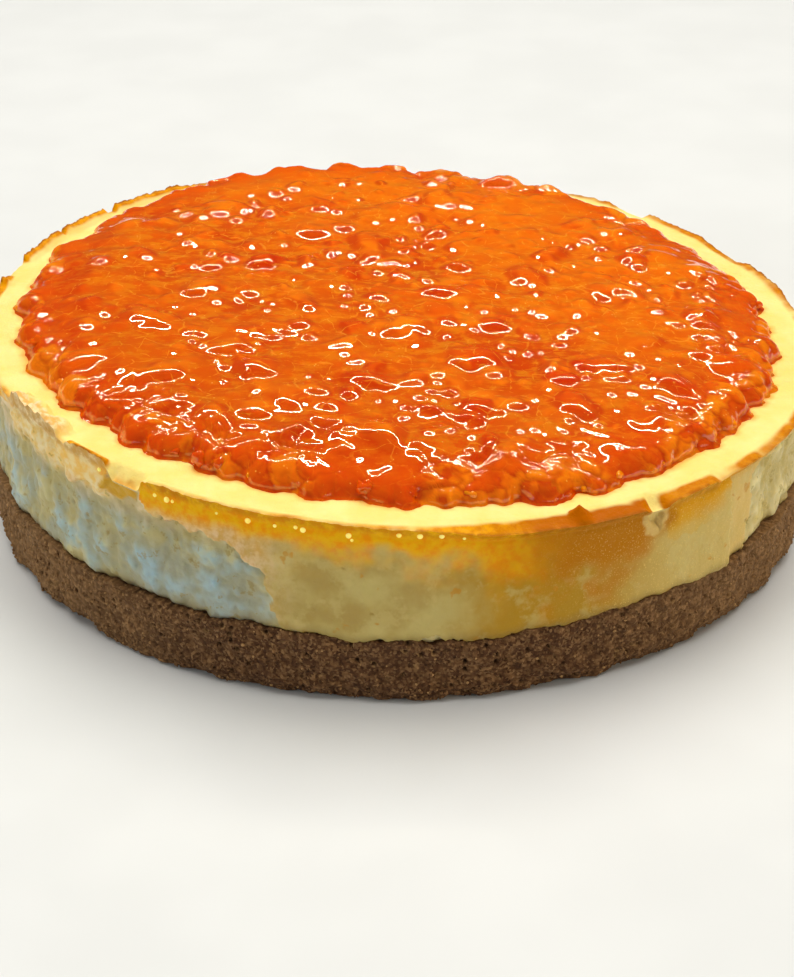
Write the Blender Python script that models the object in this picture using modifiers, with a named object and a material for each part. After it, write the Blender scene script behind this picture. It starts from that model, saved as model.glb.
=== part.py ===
"""A whole baked cheesecake: a pressed biscuit base, a set cheese filling whose side is torn where
the tin came away, and a chunky fruit topping. Lengths are in metres, +Z is up, and the origin is
the middle of the underside. Azimuths run from +X towards +Y, and the front of the cake is -Y."""

import math

import bmesh
import bpy
import numpy as np
from mathutils import Matrix, Vector, noise

# The tin and the three layers
CAKE_RADIUS = 0.1195
BASE_HEIGHT = 0.0195
FILLING_TOP = 0.0525
TOP_SLOPE = -0.038
LAYER_GAP = 0.0003
JOINT_START = CAKE_RADIUS - 0.0160
JOINT_END = CAKE_RADIUS - 0.0045

# The browned lip that stands round the filling's top
LIP_HEIGHT = 0.0021
LIP_WIDTH = 0.0030
LIP_LEAN = 0.0011

# The fruit topping: a domed bed of jelly, and the pieces of fruit that stand out of it
BED_INSET = 0.0025
BED_EDGE = 0.0052
BED_CROWN = 0.0088
BED_ROUNDING = 0.0065
TOPPING_REACH = (
    (20.0, 0.914),
    (48.0, 0.882),
    (90.0, 0.902),
    (128.0, 0.926),
    (152.0, 0.935),
    (195.5, 0.930),
    (228.4, 0.897),
    (268.0, 0.916),
    (305.0, 0.928),
    (343.0, 0.919),
)
INNER_PIECES = 48
EDGE_PIECES = 36
GOLDEN_ANGLE = math.pi * (3 - math.sqrt(5))
FRUIT_SEED = 7

# How finely the solids are divided
SIDE_STEPS = 116
BED_CELLS = 26
PIECE_DIVISIONS = 2

# Lip breaks, as azimuth, half width and share of the lip that is lost
LIP_BREAKS = (
    (233.5, 2.6, 1.7),
    (166.0, 3.2, 1.5),
    (177.5, 2.0, 1.2),
    (303.0, 1.6, 0.9),
    (316.0, 1.4, 0.8),
    (327.0, 2.2, 1.0),
    (49.0, 1.8, 1.1),
    (30.0, 3.4, 0.9),
    (100.0, 4.0, 0.8),
)
# Flaps of lip that stand up, as azimuth, half width and share of the lip that is added
LIP_FLAPS = (
    (213.0, 3.6, 1.1),
    (226.0, 3.2, 0.7),
    (171.5, 2.2, 1.4),
    (155.0, 5.0, 0.5),
    (292.5, 1.2, 0.9),
    (57.0, 2.6, 0.6),
    (21.0, 2.4, 0.8),
)
# Stretches of the side whose skin was torn off with the tin: azimuth, half width and depth
TORN_STRETCHES = (
    (218.0, 44.0, 1.0),
    (333.0, 18.0, 0.7),
    (75.0, 34.0, 0.6),
    (136.0, 22.0, 0.8),
)
TORN_DEPTH = 0.0016


def smooth_step(low, high, value):
    """0 below low, 1 above high, and a smooth rise between them."""
    share = min(1.0, max(0.0, (value - low) / (high - low)))
    return share * share * (3 - 2 * share)


def turn_between(first, second):
    """The angle in degrees between two azimuths, from 0 to 180."""
    return abs((first - second + 180) % 360 - 180)


def bump(azimuth, stretches):
    """The sum of rounded humps, each an azimuth, a half width and a height."""
    return sum(
        height * (1 - smooth_step(0.0, half_width, turn_between(azimuth, middle)))
        for middle, half_width, height in stretches
    )


def wave(angle, waves):
    """A sum of cosines round the cake, each a count of crests, a height and a phase."""
    return sum(height * math.cos(count * angle + phase) for count, height, phase in waves)


def ragged(angle, height, size, seed):
    """Noise from -1 to 1 over the side of the cake, with crags of about the given size."""
    place = Vector((math.cos(angle), math.sin(angle), 0)) * (CAKE_RADIUS / size)
    place.z = height / size + seed
    return noise.noise(place)


def torn(angle, height):
    """How far inwards the torn side lies at this azimuth and height."""
    share = min(1.0, bump(math.degrees(angle) % 360, TORN_STRETCHES))
    crags = 0.55 + 0.9 * ragged(angle, height, 0.011, 3.1) + 0.6 * ragged(angle, height, 0.0055, 8.4)
    return share * TORN_DEPTH * max(-0.2, crags)


def base_top(angle):
    """Height of the line where the biscuit base meets the filling, as it shows at the side."""
    dips = ((3, 0.0004, 1.0), (7, 0.0004, 0.4), (13, 0.0003, 2.0))
    return BASE_HEIGHT + wave(angle, dips) + 0.0007 * ragged(angle, 0, 0.011, 5.2)


def joint_lift(radius, angle):
    """How far the joint of base and filling lies from its mean height: level towards the middle."""
    return smooth_step(JOINT_START, JOINT_END, radius) * (base_top(angle) - BASE_HEIGHT)


def outer_radius(angle):
    """Radius of the cake's side, a little out of round."""
    return CAKE_RADIUS + wave(angle, ((2, 0.0004, 0.3), (3, 0.0003, 1.2), (5, 0.0002, 2.5)))


def topping_radius(angle):
    """Radius that the topping reaches, eased from one measured azimuth to the next."""
    degrees = math.degrees(angle) % 360
    for k, (first, reach) in enumerate(TOPPING_REACH):
        second, next_reach = TOPPING_REACH[(k + 1) % len(TOPPING_REACH)]
        span = (second - first) % 360
        along = (degrees - first) % 360
        if along <= span:
            share = smooth_step(0.0, 1.0, along / span)
            return CAKE_RADIUS * (reach + (next_reach - reach) * share)
    return CAKE_RADIUS * TOPPING_REACH[0][1]


def slope_at(x):
    """How much higher the top stands at x than in the middle, as the cake set on a slant."""
    return TOP_SLOPE * x


def material(name, colour, roughness):
    """A plain food surface."""
    made = bpy.data.materials.new(name)
    made.use_nodes = True
    shader = made.node_tree.nodes["Principled BSDF"]
    shader.inputs["Base Color"].default_value = (*colour, 1)
    shader.inputs["Roughness"].default_value = roughness
    shader.inputs["Metallic"].default_value = 0
    return made


def turned(name, profile, steps, collection):
    """A solid of revolution: the profile, from the top of the axis over the outside to its foot."""
    mesh = bpy.data.meshes.new(name)
    rows = [(radius, 0, height) for radius, height in profile]
    mesh.from_pydata(rows, [(i, i + 1) for i in range(len(rows) - 1)], [])
    obj = bpy.data.objects.new(name, mesh)
    collection.objects.link(obj)
    screw = obj.modifiers.new("Turn", "SCREW")
    screw.axis = "Z"
    screw.steps = screw.render_steps = steps
    screw.use_merge_vertices = True
    screw.merge_threshold = 0.00001
    apply_modifiers(obj)
    return obj


def apply_modifiers(obj):
    """Keeps the object's evaluated mesh in place of its modifiers."""
    graph = bpy.context.evaluated_depsgraph_get()
    made = bpy.data.meshes.new_from_object(obj.evaluated_get(graph))
    made.name = obj.name
    old = obj.data
    obj.modifiers.clear()
    obj.data = made
    bpy.data.meshes.remove(old)


def reshape(obj, place):
    """Moves every vertex to place(radius, angle, height), which gives a new radius and height."""
    for vertex in obj.data.vertices:
        x, y, z = vertex.co
        angle = math.atan2(y, x)
        radius, height = place(math.hypot(x, y), angle, z)
        vertex.co = (radius * math.cos(angle), radius * math.sin(angle), height)


def finish(obj, surface, sharp_degrees=50):
    """Faces out, shaded smooth except at sharp edges, with one material."""
    work = bmesh.new()
    work.from_mesh(obj.data)
    bmesh.ops.recalc_face_normals(work, faces=work.faces)
    work.to_mesh(obj.data)
    work.free()
    obj.data.shade_smooth()
    obj.data.set_sharp_from_angle(angle=math.radians(sharp_degrees))
    obj.data.materials.clear()
    obj.data.materials.append(surface)


def biscuit_base(collection):
    """The pressed crumb base: a flat underside and a craggy wall, crumbled away at the foot."""
    wall = [0.0150, 0.0100, 0.0050]
    foot_width = 0.0035
    profile = [(0, BASE_HEIGHT), (JOINT_START, BASE_HEIGHT), (JOINT_END, BASE_HEIGHT)]
    profile += [(CAKE_RADIUS - 0.0004, BASE_HEIGHT)]
    profile += [(CAKE_RADIUS, height) for height in wall]
    profile += [(CAKE_RADIUS - 0.0010, 0.0012), (CAKE_RADIUS - foot_width, 0), (0, 0)]
    obj = turned("biscuit_base", profile, SIDE_STEPS, collection)

    def place(radius, angle, height):
        outer = smooth_step(JOINT_END, CAKE_RADIUS - 0.0006, radius)
        crags = 0.0011 * ragged(angle, height, 0.0062, 1.7) + 0.0007 * ragged(angle, height, 0.0031, 6.3)
        crumbled = 0.0020 * max(0.0, ragged(angle, 0, 0.016, 2.9)) * smooth_step(0.006, 0.0, height)
        new_radius = radius + outer * (outer_radius(angle) - CAKE_RADIUS + crags - crumbled)
        return new_radius, height + height / BASE_HEIGHT * joint_lift(radius, angle)

    reshape(obj, place)
    finish(obj, material("pressed_biscuit", (0.24, 0.125, 0.055), 0.9))
    return obj


def cheese_filling(collection):
    """The set filling: torn and smooth stretches of side, a raised lip, and a flat top."""
    foot, top = BASE_HEIGHT + LAYER_GAP, FILLING_TOP
    side = [0.84, 0.67, 0.50, 0.33, 0.16]
    lip_top = top + LIP_HEIGHT
    profile = [(0, top), (CAKE_RADIUS - 0.0130, top)]
    profile += [(CAKE_RADIUS - 0.0080, top - 0.0002), (CAKE_RADIUS - LIP_WIDTH - 0.0012, top)]
    profile += [(CAKE_RADIUS - LIP_WIDTH * 0.5, lip_top), (CAKE_RADIUS, lip_top - 0.0006)]
    profile += [(CAKE_RADIUS, foot + share * (top - foot)) for share in side]
    profile += [(CAKE_RADIUS - 0.0004, foot), (JOINT_END, foot), (JOINT_START, foot), (0, foot)]
    obj = turned("cheese_filling", profile, SIDE_STEPS, collection)

    def place(radius, angle, height):
        degrees = math.degrees(angle) % 360
        outer = smooth_step(JOINT_END, CAKE_RADIUS - 0.0006, radius)
        share = (height - foot) / (top - foot)
        over_lip = max(0.0, height - top) / LIP_HEIGHT
        lip = 1 - bump(degrees, LIP_BREAKS) + bump(degrees, LIP_FLAPS) + 0.35 * ragged(angle, 0, 0.007, 4.4)
        new_radius = radius + outer * (outer_radius(angle) - CAKE_RADIUS - torn(angle, height))
        new_radius += over_lip * LIP_LEAN * (0.6 + 0.8 * wave(angle, ((1, 0.7, 0.8), (4, 0.5, 0.2))))
        new_height = height + max(0.0, 1 - share) * joint_lift(radius, angle)
        new_height += over_lip * LIP_HEIGHT * (max(-0.6, lip) - 1)
        new_height += min(1.0, share) * slope_at(new_radius * math.cos(angle))
        return new_radius, new_height

    reshape(obj, place)
    finish(obj, material("baked_cheese", (0.86, 0.70, 0.36), 0.5))
    return obj


def fruit_pieces():
    """Every piece of fruit that shows: its middle, its half lengths and how far it is turned."""
    draw = np.random.default_rng(FRUIT_SEED)
    floor = FILLING_TOP + LAYER_GAP
    pieces = []
    for k in range(INNER_PIECES):
        share = 0.90 * math.sqrt((k + 0.5) / INNER_PIECES)
        angle = k * GOLDEN_ANGLE + draw.uniform(-0.08, 0.08)
        radius = share * topping_radius(angle) + draw.uniform(-0.003, 0.003)
        long = draw.uniform(0.0056, 0.0096)
        half = (long, long * draw.uniform(0.5, 0.9), draw.uniform(0.0030, 0.0042))
        height = floor + bed_depth(share) + draw.uniform(0.0009, 0.0024) - half[2]
        middle = (radius * math.cos(angle), radius * math.sin(angle), height)
        pieces.append((middle, half, draw.uniform(0, math.pi)))
    for k in range(EDGE_PIECES):
        angle = (k + draw.uniform(-0.35, 0.35)) * math.tau / EDGE_PIECES
        long = draw.uniform(0.0055, 0.0090)
        half = (long, long * draw.uniform(0.6, 0.95), draw.uniform(0.0026, 0.0036))
        radius = topping_radius(angle) + draw.uniform(-0.0010, 0.0016) - 0.5 * (half[0] + half[1])
        height = floor + 0.85 * half[2] + draw.uniform(0.0, 0.0022)
        middle = (radius * math.cos(angle), radius * math.sin(angle), height)
        pieces.append((middle, half, draw.uniform(0, math.pi)))
    return pieces


def bed_depth(share):
    """Depth of the jelly's bed, from 0 in the middle to 1 at its edge."""
    return BED_EDGE + (BED_CROWN - BED_EDGE) * (1 - share**2)


def disc_from_square(u, v):
    """Takes a square of half side 1 onto a disc of radius 1, ring by ring, so its cells stay even."""
    if abs(u) < 1e-9 and abs(v) < 1e-9:
        return 0.0, 0.0
    if abs(u) >= abs(v):
        radius, angle = u, math.pi / 4 * v / u
    else:
        radius, angle = v, math.pi / 2 - math.pi / 4 * u / v
    return abs(radius), angle if radius > 0 else angle + math.pi


def jelly_bed(surface, collection):
    """The bed: an even grid drawn out to the uneven outline, rolling a little, rounded at its edge."""
    work = bmesh.new()
    bmesh.ops.create_grid(work, x_segments=BED_CELLS, y_segments=BED_CELLS, size=1.0)
    floor = FILLING_TOP + LAYER_GAP
    for vertex in work.verts:
        share, angle = disc_from_square(vertex.co.x, vertex.co.y)
        reach = topping_radius(angle) - BED_INSET
        x, y = share * reach * math.cos(angle), share * reach * math.sin(angle)
        fall = smooth_step(1 - BED_ROUNDING / reach, 1.0, share) ** 1.5
        rolling = 0.0009 * noise.noise(Vector((x, y, 0)) / 0.013)
        vertex.co = (x, y, floor + (bed_depth(share) + rolling) * (1 - 0.5 * fall))
    border = [edge for edge in work.edges if edge.is_boundary]
    skirt = bmesh.ops.extrude_edge_only(work, edges=border)["geom"]
    for vertex in (item for item in skirt if isinstance(item, bmesh.types.BMVert)):
        vertex.co.z = floor
    bmesh.ops.holes_fill(work, edges=[edge for edge in work.edges if edge.is_boundary])
    mesh = bpy.data.meshes.new("fruit_topping")
    work.to_mesh(mesh)
    work.free()
    obj = bpy.data.objects.new("fruit_topping", mesh)
    collection.objects.link(obj)
    finish(obj, surface)
    return obj


def fruit_lump(name, middle, half, turn, collection):
    """One soft piece of fruit: a squashed ball with uneven sides, flat where it meets the filling."""
    floor = FILLING_TOP + LAYER_GAP
    work = bmesh.new()
    bmesh.ops.create_icosphere(work, subdivisions=PIECE_DIVISIONS, radius=1.0)
    stretch = Matrix.Rotation(turn, 3, "Z") @ Matrix.Diagonal(Vector(half))
    for vertex in work.verts:
        uneven = 1 + 0.22 * noise.noise(vertex.co * 1.4 + Vector(middle) * 400)
        vertex.co = stretch @ (vertex.co * uneven) + Vector(middle)
        vertex.co.z = max(vertex.co.z, floor + 0.0001)
    bmesh.ops.recalc_face_normals(work, faces=work.faces)
    mesh = bpy.data.meshes.new(name)
    work.to_mesh(mesh)
    work.free()
    obj = bpy.data.objects.new(name, mesh)
    collection.objects.link(obj)
    return obj


def fruit_topping(collection, helpers):
    """The topping: the bed, joined to the pieces that stand out of it and round its edge."""
    surface = material("fruit_in_jelly", (0.80, 0.16, 0.008), 0.12)
    obj = jelly_bed(surface, collection)
    for k, (middle, half, turn) in enumerate(fruit_pieces()):
        fruit_lump(f"piece_{k}", middle, half, turn, helpers)
    join = obj.modifiers.new("Join the pieces", "BOOLEAN")
    join.operation = "UNION"
    join.operand_type = "COLLECTION"
    join.collection = helpers
    join.solver = "EXACT"
    apply_modifiers(obj)
    for lump in list(helpers.objects):
        bpy.data.objects.remove(lump)
    for vertex in obj.data.vertices:
        vertex.co.z += slope_at(vertex.co.x)
    finish(obj, surface, 65)
    return obj


def main():
    for obj in list(bpy.data.objects):
        bpy.data.objects.remove(obj)
    cake = bpy.data.collections.new("cheesecake")
    helpers = bpy.data.collections.new("pieces_to_join")
    bpy.context.scene.collection.children.link(cake)
    bpy.context.scene.collection.children.link(helpers)
    biscuit_base(cake)
    cheese_filling(cake)
    fruit_topping(cake, helpers)
    bpy.data.collections.remove(helpers)


main()
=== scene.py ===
# %% [markdown]
# # A whole baked cheesecake under fruit in jelly
# This lesson dresses a plain model of a cake: a pressed biscuit base, a set cheese filling and a
# topping of soft fruit in clear orange jelly. The plain model fixes the sizes, and each layer gets
# a new, finer surface that lies where the plain one lay. Everything is in metres, +Z is up, and the
# front of the cake faces -Y.

import math

import bpy
import numpy as np
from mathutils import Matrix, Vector


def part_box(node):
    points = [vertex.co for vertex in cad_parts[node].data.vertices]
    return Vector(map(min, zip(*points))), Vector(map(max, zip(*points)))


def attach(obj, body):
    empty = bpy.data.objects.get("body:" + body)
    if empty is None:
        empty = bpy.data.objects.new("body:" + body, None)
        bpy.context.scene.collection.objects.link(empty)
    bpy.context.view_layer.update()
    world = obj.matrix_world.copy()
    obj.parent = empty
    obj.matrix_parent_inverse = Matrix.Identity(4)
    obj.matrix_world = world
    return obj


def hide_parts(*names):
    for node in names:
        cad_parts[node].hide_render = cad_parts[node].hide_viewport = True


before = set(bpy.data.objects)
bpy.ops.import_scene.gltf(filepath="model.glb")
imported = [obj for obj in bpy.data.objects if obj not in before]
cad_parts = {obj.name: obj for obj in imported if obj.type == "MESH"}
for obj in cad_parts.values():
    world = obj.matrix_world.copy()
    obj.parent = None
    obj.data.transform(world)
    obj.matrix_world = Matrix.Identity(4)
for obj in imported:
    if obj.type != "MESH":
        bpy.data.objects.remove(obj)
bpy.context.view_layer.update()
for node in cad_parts:
    low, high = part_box(node)
    print(node, "size in mm", [round(1000 * (b - a), 1) for a, b in zip(low, high)])

# %% [markdown]
# ## The sizes that every layer shares
# The cake was baked in a round tin, so its side is a circle, a little out of round, and the three
# layers only differ in height. The top isn't quite level: it stands higher on the left. One
# function tilts everything that lies on the filling, so that the pieces stay together.

# %% Sizes of the cake
CAKE_RADIUS = 0.1195
BASE_HEIGHT = 0.0195
FILLING_TOP = 0.0525
TOP_SLOPE = -0.038
MM = 0.001


def ease(low, high, value):
    """0 below low, 1 above high, and between them 3 t squared minus 2 t cubed."""
    share = np.clip((value - low) / (high - low), 0, 1)
    return share * share * (3 - 2 * share)


def shares(count):
    """A column of equal steps up to 1, without the 0."""
    return np.linspace(0, 1, count + 1)[1:, None]


def turn_between(first, second):
    """The angle in degrees between azimuths, from 0 to 180."""
    return np.abs((first - second + 180) % 360 - 180)


def stretches(degrees, listed):
    """Sum of humps round the cake. Each has a middle, a half width and a height."""
    total = np.zeros_like(degrees)
    for middle, half_width, height in listed:
        total += height * (1 - ease(0, half_width, turn_between(degrees, middle)))
    return total


def out_of_round(angle):
    """Radius of the side: the tin's radius and a few slow waves round it."""
    waves = 0.4 * np.cos(2 * angle + 0.3) + 0.3 * np.cos(3 * angle + 1.2) + 0.2 * np.cos(5 * angle + 2.5)
    return CAKE_RADIUS + MM * waves


print("side of the cake", round(1000 * CAKE_RADIUS, 1), "mm from its middle")

# %% [markdown]
# ## Unevenness
# Nothing baked is smooth, so every surface here is moved by noise. Blender has noise textures, but
# a mesh is moved best by a function that takes whole arrays. Gradient noise puts a random slope
# at each corner of a lattice and blends the eight nearest. Grain noise scatters a point in each cell
# and measures how far away the nearest ones are, which draws crumbs.

# %% Two kinds of noise
DRAW = np.random.default_rng(11)
SHUFFLE = np.concatenate([DRAW.permutation(256)] * 3)
SLOPES = DRAW.normal(size=(256, 3))
SLOPES /= np.linalg.norm(SLOPES, axis=1, keepdims=True)
SCATTER = DRAW.uniform(0.12, 0.88, size=(256, 3))
CHANCE = DRAW.uniform(0, 1, size=256)


def corner_hash(cell):
    """A repeatable number from 0 to 255 for each lattice cell."""
    x, y, z = (cell[..., k] & 255 for k in range(3))
    return SHUFFLE[SHUFFLE[SHUFFLE[x] + y] + z]


def waver(place, size, seed=0.0):
    """Gradient noise from about -1 to 1, with swells of the given size in metres."""
    spot = place / size + seed * np.array([17.3, 5.9, 11.1])
    cell = np.floor(spot).astype(int)
    inside = spot - cell
    blend = inside**3 * (inside * (inside * 6 - 15) + 10)
    total = np.zeros(place.shape[:-1])
    for corner in np.ndindex(2, 2, 2):
        step = np.array(corner)
        reach = inside - step
        slope = SLOPES[corner_hash(cell + step)]
        weight = np.prod(np.where(step == 1, blend, 1 - blend), axis=-1)
        total += weight * np.sum(reach * slope, axis=-1)
    return total * 1.7


def layered(place, size, seed=0.0, layers=3, keep=0.5):
    """Waver at the size, half of it, a quarter and so on, each layer weaker by keep."""
    return sum(keep**k * waver(place, size / 2**k, seed + 3.7 * k) for k in range(layers))


def grains(place, size, seed=0.0):
    """Distance to the nearest grain's middle, that to the next one, and a chance for each grain."""
    spot = place / size + seed * np.array([7.7, 13.1, 3.3])
    cell = np.floor(spot).astype(int)
    nearest = np.full(place.shape[:-1], 9.0)
    second = np.full(place.shape[:-1], 9.0)
    chance = np.zeros(place.shape[:-1])
    for offset in np.ndindex(3, 3, 3):
        other = cell + np.array(offset) - 1
        mark = corner_hash(other)
        away = np.linalg.norm(other + SCATTER[mark] - spot, axis=-1)
        closer = away < nearest
        second = np.where(closer, nearest, np.minimum(second, away))
        chance = np.where(closer, CHANCE[mark], chance)
        nearest = np.where(closer, away, nearest)
    return nearest, second, chance


print("noise spans", np.round(waver(DRAW.uniform(0, 1, (4000, 3)), 0.02).std(), 2), "about its mean")

# %% [markdown]
# ## From arrays to a mesh
# A surface here is a grid of points: rows run from the inside out, and columns run round the cake.
# Each square of four neighbours is a face. What changes over the surface, such as how brown it is,
# goes along as an attribute, which is one number for each point that the material can read.


# %% Helpers that make a mesh
def ring_faces(rows, columns):
    """Squares between neighbouring rows of a grid whose last column meets its first."""
    row, column = np.meshgrid(np.arange(rows - 1), np.arange(columns), indexing="ij")
    after = (column + 1) % columns
    here, there = row * columns, (row + 1) * columns
    return np.stack([here + column, there + column, there + after, here + after], -1).reshape(-1, 4)


def sheet_faces(rows, columns):
    """Squares between neighbouring rows and columns of an open grid."""
    row, column = np.meshgrid(np.arange(rows - 1), np.arange(columns - 1), indexing="ij")
    first = row * columns + column
    return np.stack([first, first + 1, first + columns + 1, first + columns], -1).reshape(-1, 4)


def make_piece(name, points, faces, looks=None, smooth=True, normals=None):
    """Puts points, faces and attributes into a new mesh, which rides on the cake."""
    points = np.asarray(points, dtype=np.float32).reshape(-1, 3)
    faces = np.asarray(faces, dtype=np.int32)
    corners = faces.shape[1]
    mesh = bpy.data.meshes.new(name)
    mesh.vertices.add(len(points))
    mesh.vertices.foreach_set("co", points.ravel())
    mesh.loops.add(faces.size)
    mesh.loops.foreach_set("vertex_index", faces.ravel())
    mesh.polygons.add(len(faces))
    mesh.polygons.foreach_set("loop_start", np.arange(0, faces.size, corners, dtype=np.int32))
    mesh.polygons.foreach_set("use_smooth", np.full(len(faces), smooth))
    mesh.update(calc_edges=True)
    for look, values in (looks or {}).items():
        layer = mesh.attributes.new(look, "FLOAT", "POINT")
        layer.data.foreach_set("value", np.asarray(values, dtype=np.float32).ravel())
    if normals is not None:
        mesh.normals_split_custom_set_from_vertices(np.asarray(normals, dtype=np.float32).reshape(-1, 3))
    piece = bpy.data.objects.new(name, mesh)
    bpy.context.scene.collection.objects.link(piece)
    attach(piece, "root")
    triangles = len(faces) * (corners - 2)
    print(name, triangles, "triangles")
    return piece


def around(radius, angle, height):
    """Points from a radius, an angle and a height: numbers, or arrays that fit each other."""
    return np.stack(np.broadcast_arrays(radius * np.cos(angle), radius * np.sin(angle), height), -1)


def faces_again(faces, corners, count):
    """Faces of many equal lumps in one mesh: each lump's corners count on from the last one's."""
    return (faces[None] + corners * np.arange(count)[:, None, None]).reshape(-1, faces.shape[1])


def in_mm(values):
    """The least and the greatest of some lengths, in millimetres."""
    return [round(1000 * float(end), 1) for end in (np.min(values), np.max(values))]


# %% [markdown]
# ## The biscuit base
# Crushed biscuit and butter were pressed into the tin. The wall is a mass of grains about a
# millimetre across, with gaps where grains fell out, and its foot is ragged and set back, so
# that a dark line of shade lies under it. The material paints the gaps nearly black as painted
# shade. One grid carried round the cake gives the wall, and grain noise raises each crumb and
# sinks each gap.


# %% Where the base meets the filling
def joint_height(angle):
    """Height of the joint as it shows at the side: slow waves and a few small nicks."""
    ring = around(CAKE_RADIUS, angle, 0)
    slow = 0.4 * np.cos(3 * angle + 1.0) + 0.4 * np.cos(7 * angle + 0.4)
    degrees = np.degrees(angle) % 360
    drips = stretches(degrees, ((263.4, 4.5, -1.1), (274.1, 2.0, -1.1), (322.0, 1.2, -1.0)))
    nicks = 0.85 * waver(ring, 0.009, 5.2) + 0.5 * layered(ring, 0.0040, 2.2, 3, 0.6)
    return BASE_HEIGHT + MM * (slow + drips + nicks)


BASE_COLUMNS, BASE_ROWS = 1500, 60
base_angle = np.linspace(0, math.tau, BASE_COLUMNS, endpoint=False)
print("joint lies between", in_mm(joint_height(base_angle)), "mm")

# %% The wall of the base
UNDER_ROWS, LID_ROWS = 5, 3
GRAIN, FINE_GRAIN = 0.00155, 0.0009
WALL_FOOT, UNDERSIDE = 0.0006, 0.0004
down = np.linspace(0, 1, BASE_ROWS - UNDER_ROWS)[:, None]
turn = base_angle[None, :]
wall_height = joint_height(turn) * (1 - down) + WALL_FOOT * down
wall_ring = around(CAKE_RADIUS, turn, wall_height)
near, _, chance = grains(wall_ring, GRAIN)
fine_near, _, _ = grains(wall_ring, FINE_GRAIN, 4.0)
gap = ease(0.78, 0.95, chance) * (1 - ease(0.3, 0.6, near))
crumb = 0.60 * (1 - near**2) + 0.26 * (1 - fine_near**2) - 1.2 * gap
rolling = 0.9 * layered(wall_ring, 0.0095, 1.7, 3)
foot_back = 1.5 + 2.1 * layered(around(CAKE_RADIUS, turn, 0), 0.013, 2.9, 3)
foot_back = np.maximum(foot_back * ease(0.0052, 0.0, wall_height), 0)
top_back = 0.35 * ease(0.12, 0.0, down)
wall_radius = out_of_round(turn) - 0.0004 + MM * (crumb - 0.3 + rolling - foot_back - top_back)
under_share = shares(UNDER_ROWS)
under_radius = wall_radius[-1:] * (1 - under_share**2) + 0.0002 * under_share
inward = np.linspace(0.010, 0.0005, LID_ROWS)[:, None]
lid = around(wall_radius[:1] - inward, turn, joint_height(turn))
wall, underside = around(wall_radius, turn, wall_height), around(under_radius, turn, UNDERSIDE)
rows = np.concatenate([lid, wall, underside])
# The gaps and the places between grains go to the material, which darkens them as painted shade.
wall_looks = {look: np.pad(values, ((LID_ROWS, UNDER_ROWS), (0, 0)), mode="edge")
              for look, values in {"gap": gap, "tone": chance, "hollow_shade": near}.items()}
base_wall = make_piece("biscuit_wall", rows, ring_faces(len(rows), BASE_COLUMNS), wall_looks)
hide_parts("biscuit_base")

# %% [markdown]
# The noise makes grains on one skin only. Real crumbs also stick out over the edge, so a few
# thousand single crumbs are set into the wall, thickest at the foot. Each is a ball of 20 faces with
# its corners moved at random. They are one mesh, because thousands of objects would be slow.

# %% A crumb with 20 faces
GOLDEN = (1 + 5**0.5) / 2
BALL = np.array([(-1, GOLDEN, 0), (1, GOLDEN, 0), (-1, -GOLDEN, 0), (1, -GOLDEN, 0),
                 (0, -1, GOLDEN), (0, 1, GOLDEN), (0, -1, -GOLDEN), (0, 1, -GOLDEN),
                 (GOLDEN, 0, -1), (GOLDEN, 0, 1), (-GOLDEN, 0, -1), (-GOLDEN, 0, 1)])
BALL /= np.linalg.norm(BALL[0])
BALL_FACES = np.array([(0, 11, 5), (0, 5, 1), (0, 1, 7), (0, 7, 10), (0, 10, 11), (1, 5, 9), (5, 11, 4),
                       (11, 10, 2), (10, 7, 6), (7, 1, 8), (3, 9, 4), (3, 4, 2), (3, 2, 6), (3, 6, 8),
                       (3, 8, 9), (4, 9, 5), (2, 4, 11), (6, 2, 10), (8, 6, 7), (9, 8, 1)])


def crumbs(name, middles, sizes, draw, looks):
    """Many small crumbs in one mesh: the ball, stretched and dented at random, at each middle."""
    count = len(middles)
    stretch = draw.uniform(0.65, 1.25, (count, 1, 3)) * sizes[:, None, None]
    dent = draw.uniform(0.75, 1.2, (count, len(BALL), 1))
    points = middles[:, None, :] + BALL[None] * stretch * dent
    spread = {look: np.repeat(values, len(BALL)) for look, values in looks.items()}
    return make_piece(name, points, faces_again(BALL_FACES, len(BALL), count), spread, smooth=False)


# %% Crumbs set into the wall
draw = np.random.default_rng(23)
CRUMBS = 4600
crumb_turn = draw.uniform(0, math.tau, CRUMBS)
at_foot = draw.uniform(0, 1, CRUMBS) < 0.2
foot_share = 1 - 0.22 * draw.uniform(0, 1, CRUMBS) ** 1.5
share = np.where(at_foot, foot_share, draw.uniform(0.01, 0.98, CRUMBS))
row = (share * (BASE_ROWS - UNDER_ROWS - 1)).astype(int)
column = (crumb_turn / math.tau * BASE_COLUMNS).astype(int) % BASE_COLUMNS
crumb_size = MM * draw.uniform(0.28, 0.62, CRUMBS)
crumb_radius = wall_radius[row, column] + crumb_size * draw.uniform(-0.55, 0.3, CRUMBS)
crumb_height = np.maximum(wall_height[row, column], 0.0003 + crumb_size * 0.9)
wall_crumbs = crumbs("biscuit_crumbs", around(crumb_radius, crumb_turn, crumb_height), crumb_size, draw,
                     {"gap": np.zeros(CRUMBS), "tone": draw.uniform(0, 1, CRUMBS),
                      "hollow_shade": np.full(CRUMBS, 0.1)})

# %% [markdown]
# ## The cheese filling
# The filling set against the tin and took on a thin baked skin, golden brown just under the rim.
# When the tin came off, parts of the skin came with it. The left of the side is torn to pale
# flesh, the middle is whole, and the right is ripped into upright steps. So the side is a core
# with a skin about a millimetre thick laid over it. Short tables say what the photograph shows at
# each azimuth, and noise makes the edges between them ragged.

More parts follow.
